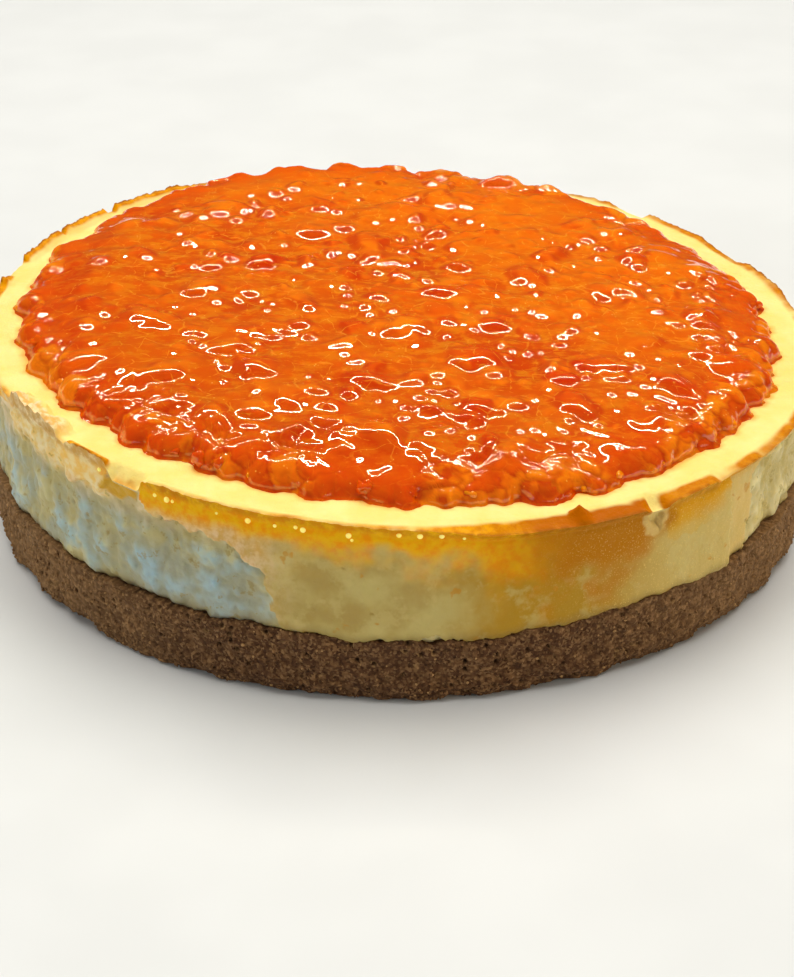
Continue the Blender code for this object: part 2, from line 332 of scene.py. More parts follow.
# %% What the side looks like from one azimuth to the next
FILL_COLUMNS = 1500
SKIN_THICKNESS = 0.9
SKIN_HANGS = ((0, 14), (14, 30), (36, 30), (40, 11), (62, 8), (70, 30), (88, 30), (92, 12), (116, 9),
              (122, 26), (150, 12), (163, 7), (165, 0), (169, 1), (171, 6), (174, 2), (190, 4), (209, 3),
              (211, 0), (221, 0), (222.5, 9), (230, 8), (231.2, 0), (236.3, 0), (236.8, 8), (246, 11),
              (250, 12.5), (252.4, 17), (253.7, 23), (254.8, 34), (321, 34), (322.5, 5), (330, 4),
              (346, 9))
GOLD_REACHES = ((0, 5), (90, 7), (180, 5), (222, 6), (231, 6), (237, 7.5), (250, 9), (262, 9), (272, 10.5),
                (279, 11.5), (285, 22), (295, 27), (304, 11), (313, 8), (317, 4), (335, 3))
LIP_STANDS = ((0, 0.9), (12, 0.9), (14, 2.3), (24, 2.0), (27, 0.3), (32, 0.4), (37, 1.6), (46, 1.5),
              (47.5, -0.3), (51, -0.2), (54, 1.2), (60, 0.8), (68, 0.0), (75, -0.3), (98, -0.3),
              (112, -0.2), (119, 0.2), (122, 0.7), (128, 1.9), (140.4, 2.3), (141, 0.2), (142.4, 0.2),
              (143, 2.2), (152, 2.5), (153, 1.0), (154, 2.4), (163, 2.0), (164.5, -0.4), (169, -0.2),
              (170.6, 1.4), (171.6, 3.4), (173, 0.9), (180, 0.2), (192, 0.4), (208, 0.5), (211, 1.5),
              (218, 1.7), (221, 0.7), (222.8, 0.5), (223.6, 1.9), (227, 2.4), (230.6, 1.5), (231.4, -0.6),
              (236.4, -0.5), (237, 1.0), (246, 0.8), (262, 0.7), (275, 0.7), (301.6, 0.9), (302.4, -0.3),
              (303.8, -0.2), (305, 1.1), (313, 1.5), (314, 0.0), (318, 0.5), (322, 0.8), (323.5, 0.2),
              (332, 0.8), (347, 1.0))
LIP_LEANS = ((0, 0.3), (30, 0.5), (60, 0.2), (120, 0), (225, 0), (230.8, 0), (231.8, 1.1), (235.8, 1.1),
             (236.8, 0), (262, 0.05), (273, 0.35), (281, 0.95), (301, 1), (302.6, 1.2), (304.2, 1.2),
             (306, 0.85), (313, 0.8), (316, 0.5), (340, 0.5))
LIP_BROWNS = ((0, 0.4), (18, 0.5), (26, 0.9), (36, 0.8), (46, 0.4), (100, 0.4), (120, 0.8), (125, 1.0),
              (163, 1.0), (172, 1.2), (190, 0.5), (222.6, 0.3), (224, 1.0), (230.4, 1.0), (231.6, 0.3),
              (262, 0.35), (273, 0.55), (281, 0.95), (301, 1.0), (313, 0.9), (330, 0.6))


def read_round(degrees, listed):
    """Value at each azimuth: a straight line from each listed pair of azimuth and value to the next."""
    azimuths, values = np.array(listed, dtype=float).T
    return np.interp(degrees, azimuths, values, period=360)


def jittered(degrees, place):
    """Azimuths moved by up to a degree, so that what the tables say has ragged upright edges."""
    return (degrees + 0.75 * layered(place, 0.0050, 12.3, 3)) % 360


print("the skin hangs up to", max(hang for _, hang in SKIN_HANGS), "mm down from the rim")

# %% [markdown]
# The rim is where the filling rose highest and browned most. On the left it ends in a thin standing
# edge, broken here and there. On the right it leans out over the side in a sharp crease. Both come
# from one cross section, whose lean, height and breaks change with the azimuth. The cream and the
# lip are one piece and the side is another, so that the shading breaks at the sharp edge.

# %% Rows of the cream and the lip
fill_angle = np.linspace(0, math.tau, FILL_COLUMNS, endpoint=False)
fill_degrees = np.degrees(fill_angle)
ring = around(CAKE_RADIUS, fill_angle, 0)
lean = read_round(fill_degrees, LIP_LEANS)
lip_stand = read_round(jittered(fill_degrees, ring), LIP_STANDS)
lip_stand += (0.25 - 0.15 * lean) * layered(ring, 0.010, 4.4, 2)
folded = read_round(jittered(fill_degrees, ring), ((208.6, 0), (209.8, 1), (220.4, 1), (221.4, 0)))
jagged = layered(ring, 0.0022, 6.1, 3)
LIP_WIDE, BAND_START = 0.0068, 0.094
BAND_ROWS, LIP_ROWS = 13, 25
PEAK_AT, PEAK_HALF_TURN, PEAK_HIGH = 292.5, 1.6, 3.3
band_in = np.linspace(0, 1, BAND_ROWS)[:, None]
lip_out = shares(LIP_ROWS)
peak = PEAK_HIGH * np.clip(1 - turn_between(fill_degrees, PEAK_AT) / PEAK_HALF_TURN, 0, 1)[None, :]
peak = peak * np.interp(lip_out, (0.36, 0.58, 1.0), (0, 1, 0))
print("lip stands up to", np.round(lip_stand.max(), 1), "mm over the cream")

# %% [markdown]
# Rows 1 to 13 are the flat band of cream that shows beside the jelly. The other 25 rise from it to
# the lip's edge and lean out with it. What crumbled away is strongest in the last row.


# %% From the cream to the edge of the lip
def cream_height(radius, angle):
    """Height of the cream's top: the tilted plane and slow swells."""
    place = around(radius, angle, 0)
    swells = 0.22 * layered(place, 0.016, 8.8, 2)
    return FILLING_TOP + TOP_SLOPE * radius * np.cos(angle) + MM * swells


angle_grid = fill_angle[None, :]
side = out_of_round(fill_angle)[None, :]
band_radius = BAND_START + (side - LIP_WIDE - BAND_START) * band_in
band = around(band_radius, angle_grid, cream_height(band_radius, angle_grid))

standing = np.clip(lip_stand, 0, 3)[None, :]
overhang = (0.25 + 1.25 * lean)[None, :] * np.clip(lip_stand + 0.4, 0, 1)[None, :]
lip_radius = side - LIP_WIDE + (LIP_WIDE + MM * overhang) * lip_out
rise = np.clip(lip_stand, -0.6, 3)[None, :] * ease(0.40, 0.93, lip_out)
fall = (0.15 + 2.5 * lean)[None, :] * ease(0.30, 1.0, lip_out)
crumble = ((0.42 - 0.34 * lean) * np.clip(jagged, -1, 1))[None, :] * lip_out**9
crumble = crumble * np.clip(standing, 0.3, 1.5)
lip_place = around(lip_radius, angle_grid, 0)
lip_at = cream_height(lip_radius, angle_grid) + MM * (rise - fall + crumble)
lip_at += MM * 0.10 * ease(0.3, 0.8, lip_out) * layered(lip_place, 0.0040, 5.8, 2)
lip_at += MM * peak
fold = folded[None, :] * ease(0.02, 0.34, lip_out - 0.22 * layered(lip_place, 0.006, 1.9, 3))
lip_at += MM * fold * (2.3 + 1.3 * layered(lip_place, 0.0045, 2.9, 2))
top_rows = np.concatenate([band, around(lip_radius, angle_grid, lip_at)])
print("cream and lip lie", in_mm(top_rows[..., 2]), "mm up")

# %% [markdown]
# ### The side under the lip
# Torn flesh is lumpy like curd, with small pits. Whole skin is nearly smooth. Each point of the side
# is pushed out by the skin's thickness where the skin is left, and by the flesh's relief elsewhere.

# %% Where the skin is left, and the flesh behind it
ROUND_ROWS, SIDE_ROWS, SIDE_DEEP = 7, 55, 33
round_under, side_down = shares(ROUND_ROWS), shares(SIDE_ROWS)
tip_radius, tip_height = lip_radius[-1:], lip_at[-1:]
side_top = cream_height(side, angle_grid) - MM * (2.6 + 2.0 * lean)[None, :]
round_radius = tip_radius + (side - 0.0002 - tip_radius) * ease(0, 1, round_under) ** 0.7
round_height = tip_height + (side_top - tip_height) * round_under
side_foot = joint_height(fill_angle)[None, :] + 0.0002
side_height = side_top + (side_foot - side_top) * side_down
low_radius = np.concatenate([tip_radius, round_radius, side + 0 * side_down])
low_height = np.concatenate([tip_height, round_height, side_height])
low_place = around(low_radius, angle_grid, low_height)
depth_down = np.clip((cream_height(low_radius, angle_grid) - low_height) / MM, 0, 40)
below = np.concatenate([0 * tip_height, 0 * round_under + 0 * side, side_down + 0 * side])


def skin_left(degrees, depth, place):
    """1 where the baked skin covers the side and 0 where it was torn off, with a ragged edge."""
    hang = read_round(jittered(degrees, place), SKIN_HANGS)
    ragged = 2.3 * layered(place, 0.0065, 9.3, 4) * np.clip(hang / 4, 0, 1)
    return ease(-0.3, 0.3, hang + ragged - depth)


def torn_flesh(place):
    """Relief of torn flesh in millimetres: curd in lumps of two sizes, drag marks and small pits."""
    bent = place + MM * 1.5 * np.stack([waver(place, 0.008, k) for k in (21.0, 22.0, 23.0)], -1)
    near, _, _ = grains(bent, 0.0085, 3.0)
    fine_near, _, _ = grains(bent, 0.0036, 6.0)
    curd = 1.9 * (0.42 - near) + 0.9 * (0.42 - fine_near)
    slow = 0.8 * waver(place, 0.014, 3.1) + 0.35 * layered(place, 0.0024, 1.9, 2)
    drags = 0.3 * layered(place * np.array([1, 1, 0.35]), 0.0045, 6.6, 2)
    pit_near, _, chance = grains(place + 0.7 * (bent - place) * np.array([1, 1, 2.0]), 0.0046, 2.0)
    pits = ease(0.70, 0.80, chance) * (1 - ease(0.02, 0.20, pit_near))
    return curd + slow + drags - 0.45 * pits, pits


TORN_SPOT = 303.4
low_degrees = fill_degrees[None, :]
ragged_degrees = jittered(low_degrees, low_place)
skin = skin_left(low_degrees, depth_down, low_place)
torn_spot = turn_between(ragged_degrees, TORN_SPOT) / 1.3 + np.abs(depth_down - 4.5) / 5
skin = skin * ease(0.8, 1.1, torn_spot)
flesh, pits = torn_flesh(low_place)
print("skin covers", round(100 * float(skin.mean())), "percent of the side")

# %% Push the side out
ridge = np.clip(read_round(low_degrees, ((300, 0), (316, 1), (342, 1), (352, 0))), 0, 1)
upright = around(CAKE_RADIUS, angle_grid, 0.22 * low_height)
step_out = read_round(jittered(low_degrees, upright),
                      ((309, 0), (316, 1.2), (316.4, -1.4), (334, -1.0), (345, 0)))
steps = 0.4 * ridge * layered(upright, 0.011, 2.7, 3) + step_out
fade_in = np.concatenate([0 * tip_height, ease(0.3, 1.0, round_under) + 0 * side, 1 + 0 * side_height])
smooth_skin = 0.16 * layered(low_place, 0.010, 5.5, 2) + 0.05 * layered(low_place, 0.0014, 2.3, 2)
few_pits = pits * ease(0.2, 0.5, waver(low_place, 0.02, 4.6) + 0.3)
chunk = read_round(low_degrees, ((208, 0), (212, 1), (219, 1), (222, 0)))
chunk = chunk * np.exp(-((depth_down - 3) / 6) ** 2)
relief = skin * (SKIN_THICKNESS + smooth_skin - 0.4 * few_pits) + (1 - skin) * (flesh - 0.35)
relief = relief + 1.1 * steps + 1.1 * chunk
low_radius = low_radius + MM * fade_in * (relief - 0.75)
low_radius = low_radius - 0.0006 * ease(0.94, 1, below)
turned_in = np.linspace(0.0015, 0.006, 2)[:, None]
foot = around(low_radius[-1:] - turned_in, angle_grid, low_height[-1:])
side_rows = np.concatenate([around(low_radius, angle_grid, low_height), foot])
print("relief of the side", in_mm(MM * fade_in * relief), "mm")

# %% [markdown]
# Colour follows shape: the skin is gold near the rim and pale lower down, the flesh is nearly
# white, and the ragged edge of the lip is darkest, browned at its tip and partly painted shade on
# the side just under it. These shares are worked out here, where the shape is known, and travel
# with the meshes.

# %% What the filling's material has to know
lip_span = np.concatenate([0 * band_in, lip_out]) + 0 * angle_grid
starts = 0.36 + 0.22 * (1 - np.clip(lean, 0, 1))[None, :]
how_brown = read_round(fill_degrees, LIP_BROWNS)[None, :]
lip_browned = ease(starts, starts + 0.34, lip_span) * how_brown
lip_browned *= np.clip(lip_stand + 0.3, 0, 1)[None, :] * (1 + 0.5 * layered(top_rows, 0.006, 3.3, 2))
top_edge = ease(0.84, 0.97, lip_span) * np.clip(lip_stand + 0.2, 0, 1)[None, :]
top_edge = top_edge * np.clip(1.3 * how_brown, 0.4, 1)
lip_browned[BAND_ROWS:] = np.maximum(lip_browned[BAND_ROWS:], ease(0.1, 0.8, peak))
fold_waves = 0.30 * layered(top_rows * (1, 1, 0), 0.005, 1.9, 3)
folded_in = folded[None, :] * ease(0.16, 0.62, lip_span - fold_waves)
break_in_lip = read_round(fill_degrees, ((231, 0), (232.2, 1), (235.4, 1), (236.6, 0)))[None, :]
browned_break = ease(0.45, 1.0, lip_span + 0.2 * layered(top_rows, 0.004, 2.2, 2))
lip_browned = np.maximum(lip_browned, 0.45 * break_in_lip * browned_break)
top_edge = top_edge * (1 - folded_in) * (0.8 + 0.5 * ease(1.2, 2.2, standing))
cream_looks = {"gold": np.clip(lip_browned * (1 - folded_in), 0, 1), "edge": np.clip(top_edge, 0, 1.2),
               "top": 1 + 0 * lip_span, "folded": folded_in}
filling_top = make_piece("cream_and_lip", top_rows, ring_faces(len(top_rows), FILL_COLUMNS), cream_looks)
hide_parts("cheese_filling")

# %% [markdown]
# The side needs more: how deep the gold reaches, where it is bare or stained, how far down a point
# lies, and where the seam with the base is. Noise added to a distance makes its border ragged.

# %% What the side's colours follow
wavering = 1 + 0.45 * layered(low_place, 0.010, 3.7, 3)
gold = np.exp(-(depth_down / (wavering * read_round(low_degrees, GOLD_REACHES))) ** 2.1)
bare_spot = read_round(ragged_degrees, ((230.8, 0), (231.8, 1), (236.0, 1), (236.8, 0), (301.5, 0),
                                        (302.4, 0.8), (304, 0.8), (305, 0)))
bare_spot = bare_spot * ease(4.6, 2.2, depth_down + 1.2 * layered(low_place, 0.004, 7.9, 2))
turned_back = read_round(ragged_degrees, ((205, 0), (208, 1), (229.6, 1), (231.4, 0)))
blotched = 0.5 * layered(low_place, 0.0045, 7.9, 3)


def blotch(middle, half_turn, deep, half_deep):
    """An oval stain on the side with a ragged edge, at an azimuth and a depth under the rim."""
    away = np.hypot(turn_between(low_degrees, middle) / half_turn, (depth_down - deep) / half_deep)
    return ease(1.15, 0.85, away + blotched)


# Darkens the side just under the lip, more where the lip leans out over it: partly the skin's browned
# edge, partly painted shade under the lip.
under_lip_edge_shade = ease(2.4, 0.2, depth_down - 2.5 * lean[None, :]) * np.clip(lip_stand, 0, 1)[None, :]
side_looks = {
    "skin": skin, "gold": gold, "edge": 0.55 * under_lip_edge_shade, "top": 0 * skin,
    # The pits are darkened in the material, as painted shade.
    "pits": np.maximum(pits * (1 - skin), few_pits),
    # The flesh's relief also darkens its low places in the material, as painted shade.
    "relief": fade_in * (1 - skin) * flesh,
    "down": depth_down / SIDE_DEEP,
    "olive": np.maximum(blotch(232.0, 2.8, 6.0, 2.4), 0.4 * blotch(308.5, 3.6, 10.5, 3.0)),
    "bare": np.maximum(bare_spot, 0.75 * blotch(TORN_SPOT, 1.9, 5.0, 5.0)),
    "folded": turned_back * ease(12.5, 6.5, depth_down + 2.4 * layered(low_place, 0.007, 8.2, 3)),
    "seam": ease(3.5, 0.2, (low_height - side_foot) / MM + 1.2 * waver(low_place, 0.009, 1.1)),
}
side_looks = {look: np.pad(values, ((0, len(foot)), (0, 0)), mode="edge")
              for look, values in side_looks.items()}
filling_side = make_piece("cheese_side", side_rows, ring_faces(len(side_rows), FILL_COLUMNS), side_looks)
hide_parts("cheese_filling")

# %% [markdown]
# Beads of butter came out of the skin just under the rim. Each is a low ball about a millimetre
# across, set where the photograph shows one, with a few more round the back.

# %% Beads of butter
BEADS = ((229.6, 2.2, 0.6), (238.6, 2.6, 0.55), (240.4, 2.4, 0.85), (241.2, 2.9, 0.5), (251.4, 2.5, 0.8),
         (254.8, 2.7, 0.5), (257.4, 2.0, 0.55), (258.3, 2.7, 0.75), (263.8, 2.6, 0.75), (264.2, 4.0, 0.45),
         (269.8, 2.0, 0.7), (272.3, 1.9, 0.8), (274.9, 1.8, 0.7), (277.6, 2.6, 0.45), (247.3, 2.8, 0.4),
         (95.0, 2.4, 0.7), (112.0, 2.6, 0.6), (66.0, 2.5, 0.7), (186.0, 2.7, 0.6), (199.0, 2.2, 0.6))


def lump_grid(rows, columns):
    """Unit directions of a ball, row by row of latitude, and its faces."""
    latitude = np.linspace(-math.pi / 2, math.pi / 2, rows)[:, None]
    longitude = np.linspace(0, math.tau, columns, endpoint=False)[None, :]
    points = around(np.cos(latitude), longitude, np.sin(latitude))
    return points.reshape(-1, 3), ring_faces(rows, columns)


bead_ball, bead_faces = lump_grid(9, 14)
bead_degrees, bead_depth, bead_size = np.array(BEADS).T
bead_turn = np.radians(bead_degrees)
bead_column = (bead_turn / math.tau * FILL_COLUMNS).astype(int)
bead_row = np.abs(depth_down[:, bead_column] - bead_depth).argmin(axis=0)
bead_at = (bead_row, bead_column)
bead_middles = around(low_radius[bead_at] - 0.0001, bead_turn, low_height[bead_at])
bead_points = bead_middles[:, None, :] + bead_ball[None] * (MM * bead_size[:, None, None])
beads = make_piece("butter_beads", bead_points, faces_again(bead_faces, len(bead_ball), len(BEADS)))

# %% [markdown]
# ## The fruit topping
# Soft fruit was cooked in jelly and spread over the cream while warm, so it lies as a low dome with
# pieces of fruit just under a wet skin. In the middle the jelly drowns them, and at the edge they
# stand out as round lumps. The top is one height over the plane, worked out on a fine raster: a
# dome, the pieces as humps, and swells. The humps are blended by a soft maximum, which keeps the
# creases between the pieces and still has no sharp edge, as jelly between fruit hasn't.

# %% The topping's outline and its pieces of fruit
TOPPING_REACH = ((20.0, 0.914), (48.0, 0.882), (90.0, 0.902), (128.0, 0.926), (152.0, 0.935),
                 (195.5, 0.930), (228.4, 0.897), (268.0, 0.916), (305.0, 0.928), (343.0, 0.919))
BED_EDGE, BED_CROWN = 0.0066, 0.0090
TOPPING_FOOT = FILLING_TOP + 0.0001


def topping_radius(angle):
    """Radius of the outline, eased from one measured azimuth to the next."""
    degrees = np.degrees(angle) % 360
    total = np.zeros_like(degrees)
    for k, (first, reach) in enumerate(TOPPING_REACH):
        second, after = TOPPING_REACH[(k + 1) % len(TOPPING_REACH)]
        span = (second - first) % 360
        along = (degrees - first) % 360
        inside = along < span
        total = np.where(inside, reach + (after - reach) * ease(0, 1, along / span), total)
    return CAKE_RADIUS * total


def bed_depth(share):
    """Depth of the jelly without its pieces, from 0 in the middle to 1 at the edge."""
    return BED_EDGE + (BED_CROWN - BED_EDGE) * (1 - share**2)


INNER_PIECES, EDGE_PIECES = 48, 36


def fruit_pieces():
    """Rows of x, y, height of the middle, three half lengths and the turn, for each large piece.

    The inner pieces lie on a sunflower's spiral, and the others evenly along the edge."""
    draw = np.random.default_rng(7)
    rows = []
    for k in range(INNER_PIECES):
        share = 0.90 * math.sqrt((k + 0.5) / INNER_PIECES)
        angle = k * math.pi * (3 - math.sqrt(5)) + draw.uniform(-0.08, 0.08)
        radius = share * float(topping_radius(np.array(angle))) + draw.uniform(-0.003, 0.003)
        long = draw.uniform(0.0056, 0.0096)
        half = (long, long * draw.uniform(0.5, 0.9), draw.uniform(0.0030, 0.0042))
        height = bed_depth(share) + draw.uniform(0.0009, 0.0024) - half[2]
        spot = (radius * math.cos(angle), radius * math.sin(angle), height)
        rows.append((*spot, *half, draw.uniform(0, math.pi)))
    for k in range(EDGE_PIECES):
        angle = (k + draw.uniform(-0.35, 0.35)) * math.tau / EDGE_PIECES
        long = draw.uniform(0.0055, 0.0090)
        half = (long, long * draw.uniform(0.6, 0.95), draw.uniform(0.0026, 0.0036))
        inward = draw.uniform(-0.0010, 0.0016) - 0.5 * (half[0] + half[1])
        radius = float(topping_radius(np.array(angle))) + inward
        height = 0.85 * half[2] + draw.uniform(0.0, 0.0022)
        spot = (radius * math.cos(angle), radius * math.sin(angle), height)
        rows.append((*spot, *half, draw.uniform(0, math.pi)))
    return np.array(rows)


large_pieces = fruit_pieces()
print(len(large_pieces), "large pieces of fruit, from and to", in_mm(2 * large_pieces[:, 3]), "mm long")

# %% Smaller pieces between them
def strewn(count, draw, longest, shortest, rise, flat=0.45):
    """Pieces strewn evenly over the topping: the same columns as the large ones.

    Their tops stand from rise[0] to rise[1] millimetres out of the bed, and more near the edge."""
    share = np.sqrt(draw.uniform(0.0, 1.0, count))
    angle = draw.uniform(0, math.tau, count)
    long = MM * draw.uniform(shortest, longest, count)
    radius = share * (topping_radius(angle) - 0.75 * long)
    short, high = long * draw.uniform(0.5, 0.95, count), long * flat * draw.uniform(0.8, 1.3, count)
    half = np.stack([long, short, high], -1)
    near_edge = ease(0.75, 0.98, share)
    top = MM * draw.uniform(*rise, count) * (1 + 0.8 * near_edge)
    height = bed_depth(share) * (1 - 0.4 * near_edge**3) + top - half[:, 2]
    return np.column_stack([radius * np.cos(angle), radius * np.sin(angle), height, half,
                            draw.uniform(0, math.pi, count)])


draw = np.random.default_rng(31)
pieces = np.concatenate([large_pieces, strewn(300, draw, 6.0, 2.6, (-0.1, 1.6)),
                         strewn(1500, draw, 2.6, 1.0, (-0.4, 0.9), 0.6)])
piece_tone = draw.uniform(0, 1, len(pieces))
print(len(pieces), "pieces in all")

# %% A raster of heights
RASTER_STEP, RASTER_HALF = 0.00036, 0.118
raster_line = np.arange(-RASTER_HALF, RASTER_HALF, RASTER_STEP)
raster_x, raster_y = np.meshgrid(raster_line, raster_line, indexing="ij")
raster_place = np.stack([raster_x, raster_y, 0 * raster_x], -1)
raster_share = np.hypot(raster_x, raster_y) / topping_radius(np.arctan2(raster_y, raster_x))
busy = ease(-0.25, 0.35, waver(raster_place, 0.026, 3.9))
swells = 0.8 * waver(raster_place, 0.024, 1.3) + 0.8 * waver(raster_place, 0.011, 4.9)
swells += 0.30 * waver(raster_place, 0.0055, 8.3) + 0.07 * busy * waver(raster_place, 0.0028, 2.2)
bed = bed_depth(np.clip(raster_share, 0, 1.1)) + MM * swells
bent_x = raster_x + MM * 1.3 * layered(raster_place, 0.006, 12.0, 2)
bent_y = raster_y + MM * 1.3 * layered(raster_place, 0.006, 15.0, 2)


def piece_humps(bed, pieces, tones, soft):
    """Soft maximum of the bed and a hump for each piece, its tone, and the share of fruit in it.

    A soft maximum adds up exp(height / soft) for the bed and each hump, and takes the logarithm.
    The humps are ellipses on bent coordinates, so that no piece has a regular outline."""
    weight_sum, tone_sum = np.ones_like(bed), np.full_like(bed, 0.5)
    for (x, y, middle, long, short, high, turned), tone in zip(pieces, tones):
        spread = 1.25 * long + 0.0012
        near_x = slice(*np.searchsorted(raster_line, (x - spread, x + spread)))
        near_y = slice(*np.searchsorted(raster_line, (y - spread, y + spread)))
        dx, dy = bent_x[near_x, near_y] - x, bent_y[near_x, near_y] - y
        along = (dx * math.cos(turned) + dy * math.sin(turned)) / long
        across = (dy * math.cos(turned) - dx * math.sin(turned)) / short
        outward = along**2 + across**2
        hump = middle + high * np.maximum(1 - outward, 0) ** 0.62 - 0.006 * np.maximum(outward - 1, 0)
        weight = np.exp(np.clip((hump - bed[near_x, near_y]) / soft, -30, 14))
        weight_sum[near_x, near_y] += weight
        tone_sum[near_x, near_y] += weight * tone
    return bed + soft * np.log(weight_sum), tone_sum / weight_sum, 1 - 1 / weight_sum


depth, tone, fruit = piece_humps(bed, pieces, piece_tone, 0.00060)
print("jelly and fruit are", np.round(1000 * depth.max(), 1), "mm deep at most")

# %% [markdown]
# Jelly that was poured warm runs into the hollows and levels there, while the tops of the pieces
# stay clear of it. So the hollows are filled: the height is blurred, and where the blurred height is
# the greater one, it wins. Near the edge the jelly ran off, so the pieces and their pulp show more.

# %% Jelly in the hollows
def blurred(height, rounds):
    """Each point takes the mean of itself and its four neighbours, over and over."""
    for _ in range(rounds):
        wide = np.pad(height, 1, mode="edge")
        beside = wide[:-2, 1:-1] + wide[2:, 1:-1] + wide[1:-1, :-2] + wide[1:-1, 2:]
        height = (2 * height + beside) / 6
    return height


drained = ease(0.83, 0.99, raster_share + 0.14 * waver(raster_place, 0.016, 7.7))
pooled = blurred(depth, 80) - MM * (0.10 + 0.30 * busy + 1.4 * drained)
level = depth + 0.00020 * np.log(1 + np.exp(np.clip((pooled - depth) / 0.00020, -30, 30)))
swim = np.clip((pooled - depth) / 0.0006, 0, 1)
level = blurred(level, 12) * (1 - drained) + blurred(level, 4) * drained
at_back = ease(0.045, 0.095, raster_y)
level = level * (1 - 0.32 * ease(0.80, 1.0, raster_share) * (1 - at_back)) + MM * 0.9 * at_back
pulp = np.clip(drained + 0.6 * busy, 0, 1) * (0.5 + 0.5 * waver(raster_place, 0.009, 5.7))
steep = np.hypot(*np.gradient(blurred(level, 4), RASTER_STEP))
# Painted shade: steep slopes away from the edge are marked, and the material paints them deep red.
slope_shade = ease(0.13, 0.36, steep) * (1 - ease(0.84, 0.93, raster_share))
slope = math.degrees(math.atan(np.median(steep[raster_share < 0.8])))
print("the jelly slopes", round(slope, 1), "degrees, by the median")

# %% The outline
ring_turn = np.linspace(0, math.tau, 2880, endpoint=False)


def lobes(angle, middles, sizes):
    """Farthest reach of a set of circles from the cake's middle, in each direction."""
    reach = np.zeros_like(angle)
    for (x, y), size in zip(middles, sizes):
        away = math.hypot(x, y)
        off = np.angle(np.exp(1j * (angle - math.atan2(y, x))))
        room = size**2 - (away * np.sin(off)) ** 2
        lobe = away * np.cos(off) + np.sqrt(np.maximum(room, 0))
        reach = np.where((room > 0) & (np.abs(off) < 0.3), np.maximum(reach, lobe), reach)
    return reach


EDGE_LUMPS = 110
edge_large = large_pieces[INNER_PIECES:]
small_turn = draw.uniform(0, math.tau, EDGE_LUMPS)
small_size = MM * draw.uniform(1.2, 4.6, EDGE_LUMPS)
small_out = topping_radius(small_turn) - 0.0010 - small_size + MM * draw.uniform(-2.2, 1.2, EDGE_LUMPS)
large_reach = lobes(ring_turn, edge_large[:, :2], 0.5 * (edge_large[:, 3] + edge_large[:, 4]) * 0.98)
small_reach = lobes(ring_turn, around(small_out, small_turn, 0)[:, :2], small_size)
ring_base = topping_radius(ring_turn) - 0.0022
ring_reach = np.maximum(np.maximum(large_reach, small_reach), ring_base)
kernel = np.hanning(13)
ring_reach = np.convolve(np.pad(ring_reach, 6, mode="wrap"), kernel / kernel.sum(), "valid")
ring_reach += MM * (1.0 * layered(around(0.11, ring_turn, 0), 0.0085, 3.3, 4, 0.6) - 0.5)


def outline_at(angle):
    """Reach of the topping's outline at any azimuth."""
    return np.interp(angle, np.append(ring_turn, math.tau), np.append(ring_reach, ring_reach[0]))


print("outline reaches", in_mm(ring_reach), "mm")

# %% [markdown]
# Two meshes read the raster: a disc for the middle, and a ring that also rolls over the edge and
# down to the cream. A disc made of wedges would crowd its triangles in the middle, so this one is a
# square grid pressed round. The ring's columns start at the disc's rim points, and both take their
# normals from one function, so that no seam shows in the gloss.

# %% Places on the topping
ROLL_TURN = math.radians(80)
BULLNOSE = 0.0054
FOOT_SHARE = 0.88
FLARE = 0.0011
DISC_RADIUS = 0.086
DISC_SIDE = 313
RING_COLUMNS = 4 * (DISC_SIDE - 1)


def read_raster(raster, x, y):
    """Value of a raster anywhere: the four nearest points, weighted by how near they are."""
    across, up = (x + RASTER_HALF) / RASTER_STEP, (y + RASTER_HALF) / RASTER_STEP
    i, j = np.floor(across).astype(int), np.floor(up).astype(int)
    a, b = across - i, up - j
    low = raster[i, j] * (1 - a) + raster[i + 1, j] * a
    high = raster[i, j + 1] * (1 - a) + raster[i + 1, j + 1] * a
    return low * (1 - b) + high * b


print("the disc has", DISC_SIDE**2, "points and the ring", RING_COLUMNS, "columns")

# %% [markdown]
# Where the jelly drained off the edge, soft lumps of fruit press against each other. Grain noise on
# bent places draws them: a round top for each cell, and a crease where two cells meet.


# %% Lumps at the edge
def jumble(place):
    """Lumps in millimetres, a tone for each lump, and how near the crease between two lumps is.

    Two sizes of cells have round tops. A point is in a crease where the nearest cell's middle is
    hardly nearer than the next one's."""
    bent = place + MM * 3.4 * np.stack([layered(place, 0.009, k, 3) for k in (31.0, 32.0, 33.0)], -1)
    near, after, chance = grains(bent, 0.0098, 5.0)
    fine_near, fine_after, fine_chance = grains(bent, 0.0042, 9.0)
    big = (0.55 + 0.7 * chance) * (np.sqrt(np.clip(1 - (near / 0.95) ** 2, 0, 1)) - 0.78)
    fine = (0.4 + 0.9 * fine_chance) * (np.sqrt(np.clip(1 - (fine_near / 0.95) ** 2, 0, 1)) - 0.78)
    fine_crease = 0.35 - 0.35 * ease(0.0, 0.16, fine_after - fine_near)
    crease = np.maximum(1 - ease(0.0, 0.20, after - near), fine_crease)
    return 3.0 * big + 0.7 * fine, 0.6 * chance + 0.4 * fine_chance, crease


